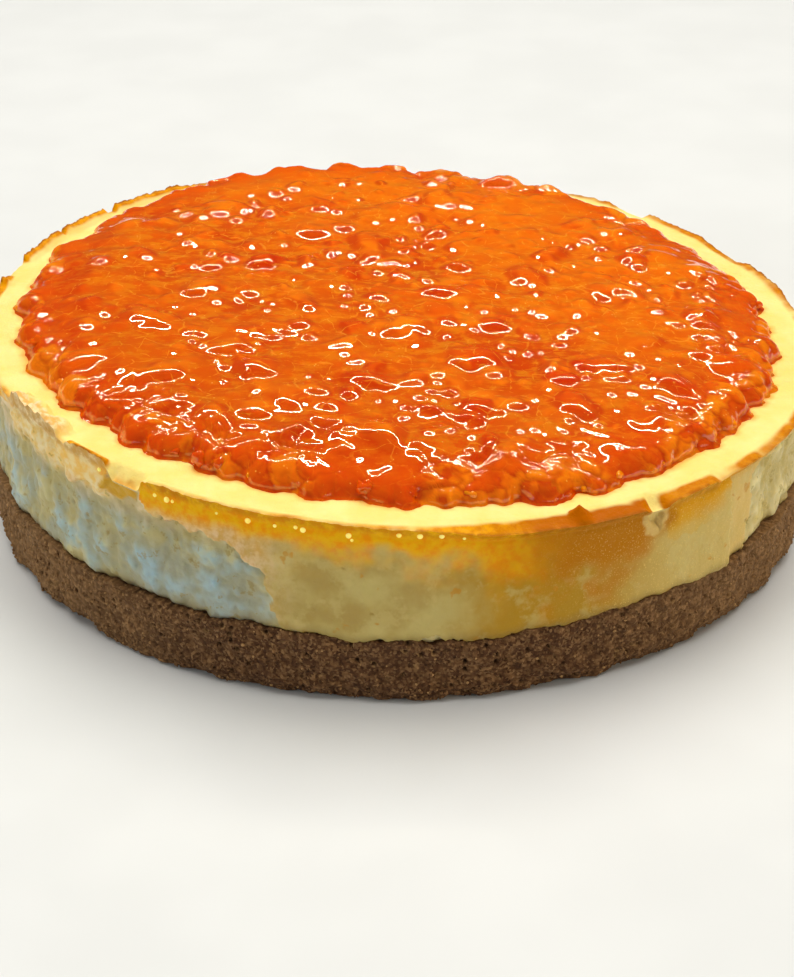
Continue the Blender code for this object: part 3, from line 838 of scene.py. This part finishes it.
def topping_places(radius, angle, drop, lean_out):
    """Points of the topping, with the tone and the crease of their lumps.

    The raster's height, less its dropped share, lies on the plane, and on the cream itself at the
    foot. Lumps push it along a direction that leans outward as far as the rolled edge does."""
    x, y = radius * np.cos(angle), radius * np.sin(angle)
    ground = (TOPPING_FOOT + TOP_SLOPE * x) * (1 - drop) + cream_height(radius, angle) * drop
    place = np.stack([x, y, ground + read_raster(level, x, y) * (1 - drop)], -1)
    amount = read_raster(drained, x, y) * (1 - ease(0.75, 1.0, drop))
    outward = around(np.sin(lean_out), angle, np.cos(lean_out))
    lumps, lump_tone, crease = jumble(place)
    # The creases go to the material, which darkens them as painted shade.
    crease = crease * read_raster(drained, x, y)
    return place + MM * (amount * lumps)[..., None] * outward, lump_tone, crease


def upward_normals(places, round_the_cake):
    """Unit normals of a grid of points: the cross product of its two directions."""
    if round_the_cake:
        second = np.roll(places, -1, axis=1) - np.roll(places, 1, axis=1)
    else:
        second = np.gradient(places, axis=1)
    normals = np.cross(np.gradient(places, axis=0), second)
    return normals / np.maximum(np.linalg.norm(normals, axis=-1, keepdims=True), 1e-12)


sample_lumps = jumble(raster_place[::40, ::40])[0]
print("lumps lie between", in_mm(MM * sample_lumps), "mm")

# %% [markdown]
# ### The ring and the disc
# The ring's columns run from the disc's rim outward, over the rolled edge and down to a flared foot
# on the cream. The drop says how far down a row is, from 0 on top to 1 at the foot. One more row
# inside the rim is only there to give the rim its normals.

# %% The ring
ring_angle = np.arange(RING_COLUMNS) * math.tau / RING_COLUMNS
reach = outline_at(ring_angle)[None, :]
FLAT_ROWS, ROLLED_ROWS, FLARE_ROWS = 34, 21, 6
flat = np.linspace(-1 / FLAT_ROWS, 1, FLAT_ROWS + 2)[:, None]
rolled, flare = shares(ROLLED_ROWS), shares(FLARE_ROWS)
roll_lean = rolled * ROLL_TURN
roll_drop = FOOT_SHARE * (1 - np.cos(roll_lean)) / (1 - math.cos(ROLL_TURN))
flat_radius = DISC_RADIUS + (reach - BULLNOSE - DISC_RADIUS) * flat
roll_radius = reach - BULLNOSE + BULLNOSE * np.sin(roll_lean)
flare_radius = roll_radius[-1:] + FLARE * flare
over_radius = np.concatenate([flat_radius, roll_radius, flare_radius])
flare_drop = 1 - (1 - FOOT_SHARE) * (1 - flare) ** 2
over_drop = np.concatenate([0 * flat, roll_drop, flare_drop]) + 0 * over_radius
over_lean = np.concatenate([0 * flat, roll_lean, ROLL_TURN * (1 - flare)])
over_angle = ring_angle[None, :]
ring_places, ring_tone, ring_crease_shade = topping_places(over_radius, over_angle, over_drop, over_lean)
ring_places[-1, :, 2] -= 0.0003
ring_normals = upward_normals(ring_places, True)[1:]
over_x, over_y = ring_places[1:, :, 0], ring_places[1:, :, 1]


def topping_looks(x, y, roll, lump_tone, crease):
    """What the jelly's material has to know, read from the rasters."""
    share = np.hypot(x, y) / topping_radius(np.arctan2(y, x))
    rasters = {"tone": tone, "fruit": fruit, "pulp": pulp, "swim": swim, "slope_shade": slope_shade}
    read = {look: read_raster(raster, x, y) for look, raster in rasters.items()}
    depth_here = (read_raster(level, x, y) - bed_depth(share)) / MM
    return read | {"slope_shade": read["slope_shade"] * (1 - roll), "depth": depth_here, "out": share, "roll": roll,
                   "lump": lump_tone * read_raster(drained, x, y), "crease": crease}


edge_looks = topping_looks(over_x, over_y, over_drop[1:], ring_tone[1:], ring_crease_shade[1:])
edge_faces = ring_faces(len(ring_places) - 1, RING_COLUMNS)
topping_edge = make_piece("fruit_in_jelly_edge", ring_places[1:], edge_faces, edge_looks,
                          normals=ring_normals)
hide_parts("fruit_topping")


# %% The disc
def disc_from_square(u, v):
    """Share of the radius and angle for each point of a square, ring by ring, with even cells."""
    wide = np.abs(u) >= np.abs(v)
    safe_u, safe_v = np.where(u == 0, 1e-12, u), np.where(v == 0, 1e-12, v)
    radius = np.where(wide, u, v)
    angle = np.where(wide, math.pi / 4 * v / safe_u, math.pi / 2 - math.pi / 4 * u / safe_v)
    return np.abs(radius), np.where(radius >= 0, angle, angle + math.pi)


line = np.linspace(-1, 1, DISC_SIDE)
disc_share, disc_angle = disc_from_square(*np.meshgrid(line, line, indexing="ij"))
disc_places, disc_tone, disc_crease_shade = topping_places(DISC_RADIUS * disc_share, disc_angle, 0, 0)
disc_normals = upward_normals(disc_places, False)
rim = disc_share > 1 - 1e-9
rim_column = np.round(disc_angle[rim] / math.tau * RING_COLUMNS).astype(int) % RING_COLUMNS
disc_places[rim] = ring_places[1, rim_column]
disc_normals[rim] = ring_normals[0, rim_column]
disc_x, disc_y = disc_places[..., 0], disc_places[..., 1]
disc_looks = topping_looks(disc_x, disc_y, 0 * disc_share, disc_tone, disc_crease_shade)
topping = make_piece("fruit_in_jelly_top", disc_places, sheet_faces(DISC_SIDE, DISC_SIDE)[:, ::-1],
                     disc_looks, normals=disc_normals)
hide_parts("fruit_topping")

# %% [markdown]
# A few single scraps of fruit lie against the edge, some on the cream and some on each other. They
# are closed balls, dented by noise, in one mesh with the jelly's material.


# %% Scraps of fruit round the edge
def turned_about(points, turn):
    """Points turned about the upright axis by an angle for each lump."""
    cos, sin = np.cos(turn)[:, None], np.sin(turn)[:, None]
    x, y, z = points[..., 0], points[..., 1], points[..., 2]
    return np.stack([x * cos - y * sin, x * sin + y * cos, z], -1)


SCRAPS = 40
ball, ball_faces = lump_grid(14, 20)
lump_turn = draw.uniform(0, math.tau, SCRAPS)
lump_long = MM * draw.uniform(0.7, 2.5, SCRAPS)
lump_short, lump_flat = draw.uniform(0.5, 1, SCRAPS), draw.uniform(0.45, 0.8, SCRAPS)
lump_half = lump_long[:, None] * np.stack([np.ones(SCRAPS), lump_short, lump_flat], -1)
lump_radius = np.interp(lump_turn, ring_turn, ring_reach) - lump_long * draw.uniform(0.3, 1.0, SCRAPS)
lump_up = np.maximum(lump_half[:, 2] * 0.8 + MM * draw.uniform(-0.4, 1.8, SCRAPS), 0.0006)
lump_points = turned_about(ball[None] * lump_half[:, None, :], draw.uniform(0, math.tau, SCRAPS))
lump_middle = around(lump_radius, lump_turn, lump_up)[:, None, :]
dents = 1 + 0.55 * layered(lump_points + lump_middle * 3.0, 0.0024, 6.2, 3)[..., None]
lump_points = lump_points * dents + lump_middle
plane = TOPPING_FOOT + TOP_SLOPE * lump_points[..., 0]
lump_points[..., 2] = np.maximum(lump_points[..., 2], 0.0) + plane
lump_tone = draw.uniform(0, 1, SCRAPS)
lump_looks = {"tone": lump_tone, "lump": lump_tone}
for look, amount in {"fruit": 1, "depth": 0.6, "out": 0.96, "pulp": 0.4, "roll": 0.3}.items():
    lump_looks[look] = np.full(SCRAPS, amount)
for look in ("swim", "slope_shade", "crease"):
    lump_looks[look] = np.zeros(SCRAPS)
scraps = make_piece("fruit_scraps_at_edge", lump_points, faces_again(ball_faces, len(ball), SCRAPS),
                    {look: np.repeat(values, len(ball)) for look, values in lump_looks.items()})

# %% [markdown]
# Orange juice crept from the topping into the cream beside it. Each point of the cream knows how far
# it lies from the outline, and the nearest few millimetres carry a stain.

# %% Juice in the cream
cream_radius = np.hypot(top_rows[..., 0], top_rows[..., 1])
creep = 2.2 + 1.8 * layered(top_rows, 0.009, 9.9, 3)
past_outline = (cream_radius - outline_at(fill_angle)[None, :]) / MM
stain = ease(1.0, 0.0, past_outline / np.maximum(creep, 0.5))
layer = filling_top.data.attributes.new("stain", "FLOAT", "POINT")
layer.data.foreach_set("value", stain.astype(np.float32).ravel())
print("juice creeps", np.round(creep.mean(), 1), "mm into the cream on average")

# %% [markdown]
# ## A small language for materials
# A material is a net of nodes, and arithmetic on sockets is tedious to wire by hand. This class
# wraps one output socket, so that an expression such as 1 - mask * 0.5 adds the Math nodes itself.
# Colours go through Mix nodes, because a Math node would turn them grey. A colour is mostly built
# like paint: a first colour, and then coats over it, each with its share from 0 to 1.


# %% Sockets that can be added and multiplied
class Amount:
    """One number that changes over a surface: an output socket that takes part in arithmetic."""

    def __init__(self, recipe, socket):
        self.recipe, self.socket = recipe, socket

    def math(self, operation, first, second):
        """One Math node, fed with two numbers or sockets."""
        return self.recipe.node("ShaderNodeMath", {"operation": operation}, {0: first, 1: second})

    def __add__(self, other):
        return self.math("ADD", self, other)

    def __sub__(self, other):
        return self.math("SUBTRACT", self, other)

    def __mul__(self, other):
        return self.math("MULTIPLY", self, other)

    def __rsub__(self, other):
        return self.math("SUBTRACT", other, self)

    __radd__, __rmul__ = __add__, __mul__

    def span(self, low, high, first=0.0, last=1.0):
        """Takes low to first and high to last, eased between and level outside."""
        settings = {"interpolation_type": "SMOOTHSTEP", "clamp": True}
        values = {"Value": self, "From Min": low, "From Max": high, "To Min": first, "To Max": last}
        return self.recipe.node("ShaderNodeMapRange", settings, values)


print("an Amount can be added to, taken from and multiplied by numbers and other Amounts")

# %% [markdown]
# A Recipe holds one material. Its methods add the nodes that this cake needs, and one method named
# node does the wiring for all of them. A name with an underscore stands for a socket with a space.


# %% A recipe for a material
class Recipe:
    """A material for this cake: a Principled shader and the nodes that feed it."""

    def __init__(self, name, **constants):
        self.material = bpy.data.materials.new(name)
        self.material.use_nodes = True
        self.tree = self.material.node_tree
        self.shader = self.tree.nodes["Principled BSDF"]
        for socket, value in constants.items():
            self.shader.inputs[socket.replace("_", " ")].default_value = value

    def node(self, kind, settings=None, values=None, output=0):
        """Adds a node: its settings first, then a number or a link for each named socket."""
        made = self.tree.nodes.new(kind)
        for key, value in (settings or {}).items():
            setattr(made, key, value)
        for key, value in (values or {}).items():
            self.feed(made.inputs[key], value)
        return Amount(self, made.outputs[output])

    def feed(self, socket, value):
        """Links an Amount to a socket, or sets a plain value on it."""
        if isinstance(value, Amount):
            self.tree.links.new(value.socket, socket)
        elif isinstance(value, tuple) and socket.type == "RGBA":
            socket.default_value = (*value, 1)
        else:
            socket.default_value = value

    def look(self, name):
        """The attribute of that name that came with the mesh."""
        return self.node("ShaderNodeAttribute", {"attribute_name": name}, output=2)

    def vector_math(self, operation, values, output=0):
        """One Vector Math node."""
        return self.node("ShaderNodeVectorMath", {"operation": operation}, values, output)

    def place(self, stretch=(1, 1, 1)):
        """Object coordinates, stretched."""
        spot = self.node("ShaderNodeTexCoord", output=3)
        return self.node("ShaderNodeMapping", None, {"Vector": spot, "Scale": stretch})

    def clouds(self, size, detail=2.0, rough=0.5, stretch=(1, 1, 1)):
        """Noise from 0 to 1 with clouds of about the given size in metres."""
        values = {"Vector": self.place(stretch), "Scale": 1 / size, "Detail": detail, "Roughness": rough}
        return self.node("ShaderNodeTexNoise", None, values)

    def cells(self, size, feature="F1", bend=0, output=0):
        """Distance to the nearest point of a scatter, in shares of the size.

        A bend in metres moves the places by noise first, so that the borders between cells curve."""
        spot = self.place()
        if bend:
            moved = self.node("ShaderNodeTexNoise", None, {"Vector": spot, "Scale": 0.6 / size}, output=1)
            shift = self.vector_math("SCALE", {0: moved, "Scale": 2 * bend})
            spot = self.vector_math("ADD", {0: spot, 1: shift})
        values = {"Vector": spot, "Scale": 1 / size}
        return self.node("ShaderNodeTexVoronoi", {"feature": feature}, values, output)

    def cell_chance(self, size):
        """A number from 0 to 1 for each cell of a scatter."""
        return self.cells(size, output=1).span(0, 1)

    def mix(self, share, first, second):
        """Blends two colours, each an Amount or red, green and blue as a screen shows them."""
        values = {0: share, 6: first, 7: second}
        for socket in (6, 7):
            if not isinstance(values[socket], Amount):
                values[socket] = shown(*values[socket])
        return self.node("ShaderNodeMix", {"data_type": "RGBA", "clamp_factor": True}, values, output=2)

    def coats(self, colour, *coats):
        """Lays coats over a colour, one after another. Each coat is a share and a colour."""
        for share, over in coats:
            colour = self.mix(share, colour, over)
        return colour

    def east(self):
        """Metres from the cake's middle, to the right as the photograph sees it."""
        return self.node("ShaderNodeSeparateXYZ", None, {"Vector": self.place()}, output=0)

    def rough_to_touch(self, *layers):
        """Chains Bump nodes, each a height and its depth in metres, into the shader's Normal."""
        normal = None
        for height, deep in layers:
            values = {"Height": height, "Distance": deep, "Strength": 1.0}
            if normal is not None:
                values["Normal"] = normal
            normal = self.node("ShaderNodeBump", None, values)
        self.feed(self.shader.inputs["Normal"], normal)

    def give(self, *pieces, **sockets):
        """Feeds the shader's sockets and puts the material on the pieces."""
        for socket, value in sockets.items():
            self.feed(self.shader.inputs[socket.replace("_", " ")], value)
        for piece in pieces:
            piece.data.materials.clear()
            piece.data.materials.append(self.material)


def shown(red, green, blue):
    """A colour as it looks on a screen, from 0 to 255, taken to the linear values of a shader."""
    values = np.array([red, green, blue]) / 255
    linear = np.where(values <= 0.04045, values / 12.92, ((values + 0.055) / 1.055) ** 2.4)
    return tuple(float(v) for v in linear)


print("a screen grey of 128 is", round(shown(128, 128, 128)[0], 3), "in a shader")

# %% [markdown]
# ## Pressed biscuit
# Dry crumb scatters light evenly, so its roughness is high. Grains differ in how long they were
# baked. The gaps between grains, the small holes in the crumb and the places between grains are
# painted dark as painted shade, the gaps nearly black. The tone and the gaps come with the mesh,
# and fine noise adds the sandy surface of each grain.

# %% The biscuit's material
biscuit = Recipe("pressed_biscuit", Metallic=0.0, Roughness=0.9, Specular_IOR_Level=0.25)
each_grain = biscuit.cell_chance(0.00068)
pore_shade = (1 - biscuit.cells(0.0021).span(0.13, 0.20)) * biscuit.clouds(0.006).span(0.44, 0.54)
light_grain = biscuit.look("tone").span(0.86, 0.93) * biscuit.clouds(0.0030).span(0.45, 0.6)
# Distance sideways from the middle, for painted light: the base's sides are painted lighter than its
# shaded middle.
sides_painted_lighter = biscuit.node("ShaderNodeMath", {"operation": "ABSOLUTE"}, {0: biscuit.east()})
brown = biscuit.coats(
    biscuit.mix(biscuit.look("tone").span(0.1, 0.95), (94, 62, 38), (144, 104, 66)),
    (each_grain.span(0.60, 0.95) * 0.6, (180, 138, 92)),
    (each_grain.span(0.40, 0.05) * 0.6, (52, 30, 16)),
    # painted shade: the small holes in the crumb are darkened
    (pore_shade * 0.75, (30, 15, 8)),
    (biscuit.clouds(0.018).span(0.35, 0.7) * 0.3, (98, 68, 48)),
    # painted light: lighter to the left and right of the middle
    (sides_painted_lighter.span(0.035, 0.115) * 0.4, (188, 146, 96)),
    (light_grain * 0.8, (206, 160, 104)),
    # painted shade: the gaps and the places between grains are darkened
    (biscuit.look("gap") * 0.85, (44, 24, 12)),
    (biscuit.look("hollow_shade").span(0.35, 0.75) * 0.45, (70, 42, 22)))
biscuit.rough_to_touch((biscuit.clouds(0.0010, 3.0, 0.7), 0.0008))
biscuit.give(base_wall, wall_crumbs, Base_Color=brown)

# %% [markdown]
# ## Baked cheese
# The cream is bright pale yellow on top, golden brown where the skin baked against the tin, and
# nearly white inside. It is moist, so it has a soft sheen, and a little light travels under it.

# %% The torn flesh
cheese = Recipe("baked_cheese", Metallic=0.0, Subsurface_Weight=0.2, Subsurface_Scale=0.0015,
                Subsurface_Radius=(1.0, 0.62, 0.15), Specular_IOR_Level=0.1)
mottle = cheese.clouds(0.011, 3.0, 0.55)
fine_mottle = cheese.clouds(0.0028, 3.0, 0.6)
east = cheese.east() + mottle * 0.02 - 0.01
down_side = cheese.look("down")
# Partly the flesh's own pale colour and partly painted light: the blue-grey tints stand for cool light on
# the torn flesh.
cool = cheese.mix(mottle.span(0.40, 0.60), (176, 198, 194), (210, 200, 148))
pinkish = cheese.mix(fine_mottle.span(0.3, 0.7), (255, 228, 186), (236, 210, 156))
flesh_warm = cheese.mix(mottle.span(0.38, 0.66), (248, 234, 176), (234, 208, 128))
cool_light_near_the_foot = down_side.span(0.45, 0.70) * east.span(-0.082, -0.062) * (1 - east.span(-0.038, -0.028))
flesh_colour = cheese.coats(
    pinkish,
    # painted cool light, lower down the side and near the foot on the left
    ((down_side + mottle * 0.4 - 0.2).span(0.24, 0.46), cool),
    (cool_light_near_the_foot * mottle.span(0.30, 0.48) * 0.75, (164, 196, 208)),
    (east.span(-0.045, -0.012), flesh_warm),
    # painted shade: the flesh is darker where its relief is low, in the hollows of the curd
    ((1 - cheese.look("relief").span(-0.6, 1.0)) * 0.6, (176, 156, 92)))

# %% The baked skin
pink_skin = cheese.mix(fine_mottle.span(0.35, 0.65), (240, 204, 152), (222, 176, 98))
low_skin = cheese.coats(
    cheese.mix(mottle.span(0.35, 0.65), (206, 186, 114), (188, 160, 88)),
    (east.span(0.004, 0.030), (188, 144, 38)),
    (east.span(0.040, 0.080), (214, 186, 108)),
    (east.span(0.082, 0.092), (226, 192, 112)),
    (east.span(-0.022, -0.045), pink_skin),
    (cheese.clouds(0.009, 4.0, 0.62).span(0.50, 0.62) * 0.45, (216, 196, 124)),
    (cheese.clouds(0.0046).span(0.66, 0.71) * 0.6, (206, 140, 34)))
golden = cheese.coats(
    cheese.mix(fine_mottle.span(0.35, 0.7), (255, 190, 4), (255, 158, 0)),
    (east.span(0.012, 0.046), (194, 122, 0)),
    (east.span(0.066, 0.073), (228, 160, 12)))
skin_colour = cheese.mix(cheese.look("gold").span(0.03, 0.85), low_skin, golden)

# %% The side as a whole
peach = cheese.mix(fine_mottle.span(0.38, 0.62), (255, 228, 166), (255, 208, 112))
# Painted highlights: small bright specks on the right of the side stand for glints on the grainy flesh.
painted_glints = cheese.clouds(0.00042, 1.0).span(0.58, 0.72) * east.span(0.026, 0.058)
painted_glints = painted_glints * fine_mottle.span(0.32, 0.5)
marks = fine_mottle.span(0.60, 0.66) * (1 - cheese.look("skin"))
side_colour = cheese.coats(
    flesh_colour,
    (cheese.look("skin"), skin_colour),
    (cheese.look("folded") * 0.8, peach),
    (cheese.look("olive") * 0.85, (226, 168, 10)),
    (cheese.look("bare"), cheese.mix(east.span(0, 0.04), (255, 226, 112), (230, 200, 124))),
    # painted shade: the pits are darkened
    (cheese.look("pits") * 0.7, (150, 112, 28)),
    (cheese.look("seam") * 0.5, (150, 124, 66)),
    # painted highlights: the glints
    (painted_glints * 0.4, (252, 220, 128)),
    (marks * 0.5, (168, 142, 70)))

# %% The cream, the lip and the filling's material
right_of_front = east.span(0.020, 0.042) * (1 - east.span(0.060, 0.072) * 0.5)
lip_gold = cheese.coats(
    cheese.mix(fine_mottle.span(0.35, 0.65), (234, 160, 2), (210, 128, 0)),
    (right_of_front, (190, 98, 0)))
fold_colour = cheese.mix(fine_mottle.span(0.40, 0.60), (240, 172, 84), (250, 222, 176))
top_colour = cheese.coats(
    cheese.mix(mottle.span(0.3, 0.7), (252, 230, 144), (250, 220, 122)),
    (cheese.look("gold").span(0.05, 0.65), lip_gold),
    (cheese.look("folded") * 0.8, fold_colour),
    (cheese.look("stain") * 0.8, (252, 150, 10)))
cheese_colour = cheese.coats(
    side_colour,
    (cheese.look("top"), top_colour),
    # the lip's browned tip, and just under it on the side partly painted shade
    (cheese.look("edge") * fine_mottle.span(0.25, 0.55) * 0.8, (150, 84, 8)))
sheen = fine_mottle.span(0.3, 0.7, 0.34, 0.55)
lumpy, sandy = cheese.clouds(0.0045, 4.0, 0.6), cheese.clouds(0.0011, 2.0, 0.6)
cheese.rough_to_touch((lumpy, 0.0005), (sandy, 0.00022))
cheese.give(filling_top, filling_side, Base_Color=cheese_colour, Roughness=sheen)

# %% The butter beads' material
# Painted light: the beads glow a little by emission in their own colour, which lifts them out of the shade
# under the lip and stands for their highlights.
butter = Recipe("butter", Metallic=0.0, Roughness=0.25, Emission_Strength=0.3)
yolk_and_glow = butter.mix(butter.clouds(0.002).span(0.3, 0.7), (255, 240, 130), (255, 226, 96))
butter.give(beads, Base_Color=yolk_and_glow, Emission_Color=yolk_and_glow)

# %% [markdown]
# ## Fruit in jelly
# Clear jelly over soft fruit is a deep colour under a mirror-smooth skin. The shader's coat is that
# skin. Below it the fruit is lighter and yellower than the jelly, low places are redder, steep
# slopes are painted deep red as painted shade, and fine streaks run through both.

# %% The jelly's material
jelly = Recipe("fruit_in_jelly", Metallic=0.0, Subsurface_Weight=0.45, Subsurface_Scale=0.0022, IOR=1.42,
               Roughness=0.5, Subsurface_Radius=(1.0, 0.22, 0.02), Specular_IOR_Level=0.0, Coat_Weight=1.0,
               Coat_Roughness=0.015, Coat_IOR=2.0)
streaks = jelly.clouds(0.007, 4.0, 0.62, (1, 1.6, 1))
wisps = jelly.clouds(0.0036, 4.0, 0.7, (1, 1.5, 1))
clear = jelly.coats(
    jelly.mix(jelly.look("depth").span(-1.2, 1.6), (202, 52, 0), (224, 94, 2)),
    (streaks.span(0.44, 0.62) * 0.75, (232, 126, 10)),
    (wisps.span(0.56, 0.66) * 0.35, (240, 136, 20)))
soft_fruit = jelly.coats(
    jelly.mix(jelly.look("tone").span(0.2, 0.8), (224, 64, 0), (255, 126, 6)),
    (wisps.span(0.50, 0.68) * 0.35, (250, 140, 16)))
# Painted light: the jelly is painted lighter towards the back and right and darker towards the front and
# left, as the light falls.
lit_toward_back_right = jelly.vector_math("DOT_PRODUCT", {0: jelly.place(), 1: (0.6, 0.8, 0)}, output=1)
membrane = 1 - jelly.cells(0.0080, "DISTANCE_TO_EDGE", 0.0062).span(0.006, 0.034)
lump_colour = jelly.mix(jelly.look("lump").span(0.25, 0.7), (226, 80, 0), (255, 138, 6))
yellow = jelly.look("tone").span(0.975, 0.99) * jelly.look("fruit")
pips = (1 - jelly.cells(0.0016).span(0.10, 0.20)) * streaks.span(0.54, 0.62)
orange = jelly.coats(
    clear,
    (jelly.look("fruit") * (1 - jelly.look("swim") * 0.6), soft_fruit),
    (jelly.clouds(0.034).span(0.35, 0.65) * 0.3, (234, 110, 6)),
    # painted light towards the back and right, painted shade towards the front and left
    (lit_toward_back_right.span(-0.02, 0.07) * 0.45, (255, 122, 2)),
    (lit_toward_back_right.span(-0.02, -0.09) * 0.3, (202, 72, 0)),
    # painted shade: steep slopes are painted deep red
    (jelly.look("slope_shade") * 0.6, (196, 40, 0)),
    (membrane * wisps.span(0.44, 0.56) * 0.4, (255, 168, 40)),
    (jelly.look("out").span(0.80, 0.95) * 0.75, lump_colour),
    # painted shade: the creases between lumps are painted deep red
    (jelly.look("crease") * 0.6, (184, 40, 0)),
    (yellow * 0.8, (250, 168, 30)),
    (pips * 0.6, (255, 186, 70)))
jelly.rough_to_touch((jelly.look("pulp").span(0.45, 0.9) * jelly.clouds(0.0016, 2.0, 0.55), 0.00012))
jelly.give(topping, topping_edge, scraps, Base_Color=orange)

# %% [markdown]
# ## The stage, the lights and the camera
# A pale floor, one long narrow lamp behind and above, a broad soft lamp overhead, a cool lamp from the
# front left and a warm one from the front right. The narrow lamp matters most: wet jelly mirrors it as
# thin bright loops. It lights nothing else, and the broad lamps aren't mirrored.

# %% Floor
floor_mesh = bpy.data.meshes.new("floor")
floor_mesh.from_pydata([(-4, -4, 0), (4, -4, 0), (4, 4, 0), (-4, 4, 0)], [], [(0, 1, 2, 3)])
floor = bpy.data.objects.new("floor", floor_mesh)
bpy.context.scene.collection.objects.link(floor)
paint = Recipe("pale_floor", Metallic=0.0, Roughness=0.6)
pale = paint.mix(paint.clouds(0.05).span(0.3, 0.7), (222, 223, 220), (226, 227, 224))
paint.give(floor, Base_Color=pale)


# %% Lamps
def lamp(name, place, aim, wide, deep, brightness, colour, mirrored=False):
    """A flat lamp at a place, facing a point. Brightness is what a white card would show of it.

    A mirrored lamp shows in gloss alone. The others light what is matt and aren't mirrored."""
    light = bpy.data.lights.new(name, "AREA")
    light.shape = "RECTANGLE"
    light.size, light.size_y = wide, deep
    light.energy = brightness * math.pi * wide * deep
    light.color = colour
    holder = bpy.data.objects.new(name, light)
    holder.location = place
    holder.rotation_euler = (Vector(aim) - Vector(place)).to_track_quat("-Z", "Y").to_euler()
    holder.visible_diffuse, holder.visible_glossy = not mirrored, mirrored
    bpy.context.scene.collection.objects.link(holder)
    print("lamp", name, "gives", round(light.energy, 1), "watts")


lamp("long_lamp", (0.0, 0.84, 1.05), (0, 0, 0.05), 1.5, 0.016, 96.0, (1.0, 0.90, 0.64), mirrored=True)
lamp("overhead", (0.0, 0.35, 1.6), (0, 0, 0.03), 2.2, 2.0, 3.3, (1.0, 0.98, 0.95))
lamp("front_left", (-1.8, -0.95, 0.7), (0, 0, 0.03), 1.4, 0.9, 3.2, (0.88, 0.94, 1.0))
lamp("front_right", (1.8, -0.85, 0.6), (0, 0, 0.03), 1.2, 0.9, 3.9, (1.0, 0.93, 0.80))
world = bpy.data.worlds.new("room")
world.use_nodes = True
glow = world.node_tree.nodes["Background"].inputs
glow["Color"].default_value, glow["Strength"].default_value = (1.0, 0.96, 0.90, 1), 0.035
bpy.context.scene.world = world
bpy.context.scene.view_settings.view_transform = "Standard"

# %% Camera
FOCAL_PIXELS, PHOTO_PIXELS_HIGH, SENSOR = 2200, 977, 36
LOOKS_DOWN = 29.59
camera = bpy.data.cameras.new("camera")
camera.lens = FOCAL_PIXELS / PHOTO_PIXELS_HIGH * SENSOR
camera.sensor_width = SENSOR
viewer = bpy.data.objects.new("camera", camera)
viewer.location = (-0.0009, -0.5846, 0.3283)
viewer.rotation_euler = (math.radians(90 - LOOKS_DOWN), 0, 0)
bpy.context.scene.collection.objects.link(viewer)
bpy.context.scene.camera = viewer
print("the camera's lens is", round(camera.lens, 1), "mm long")
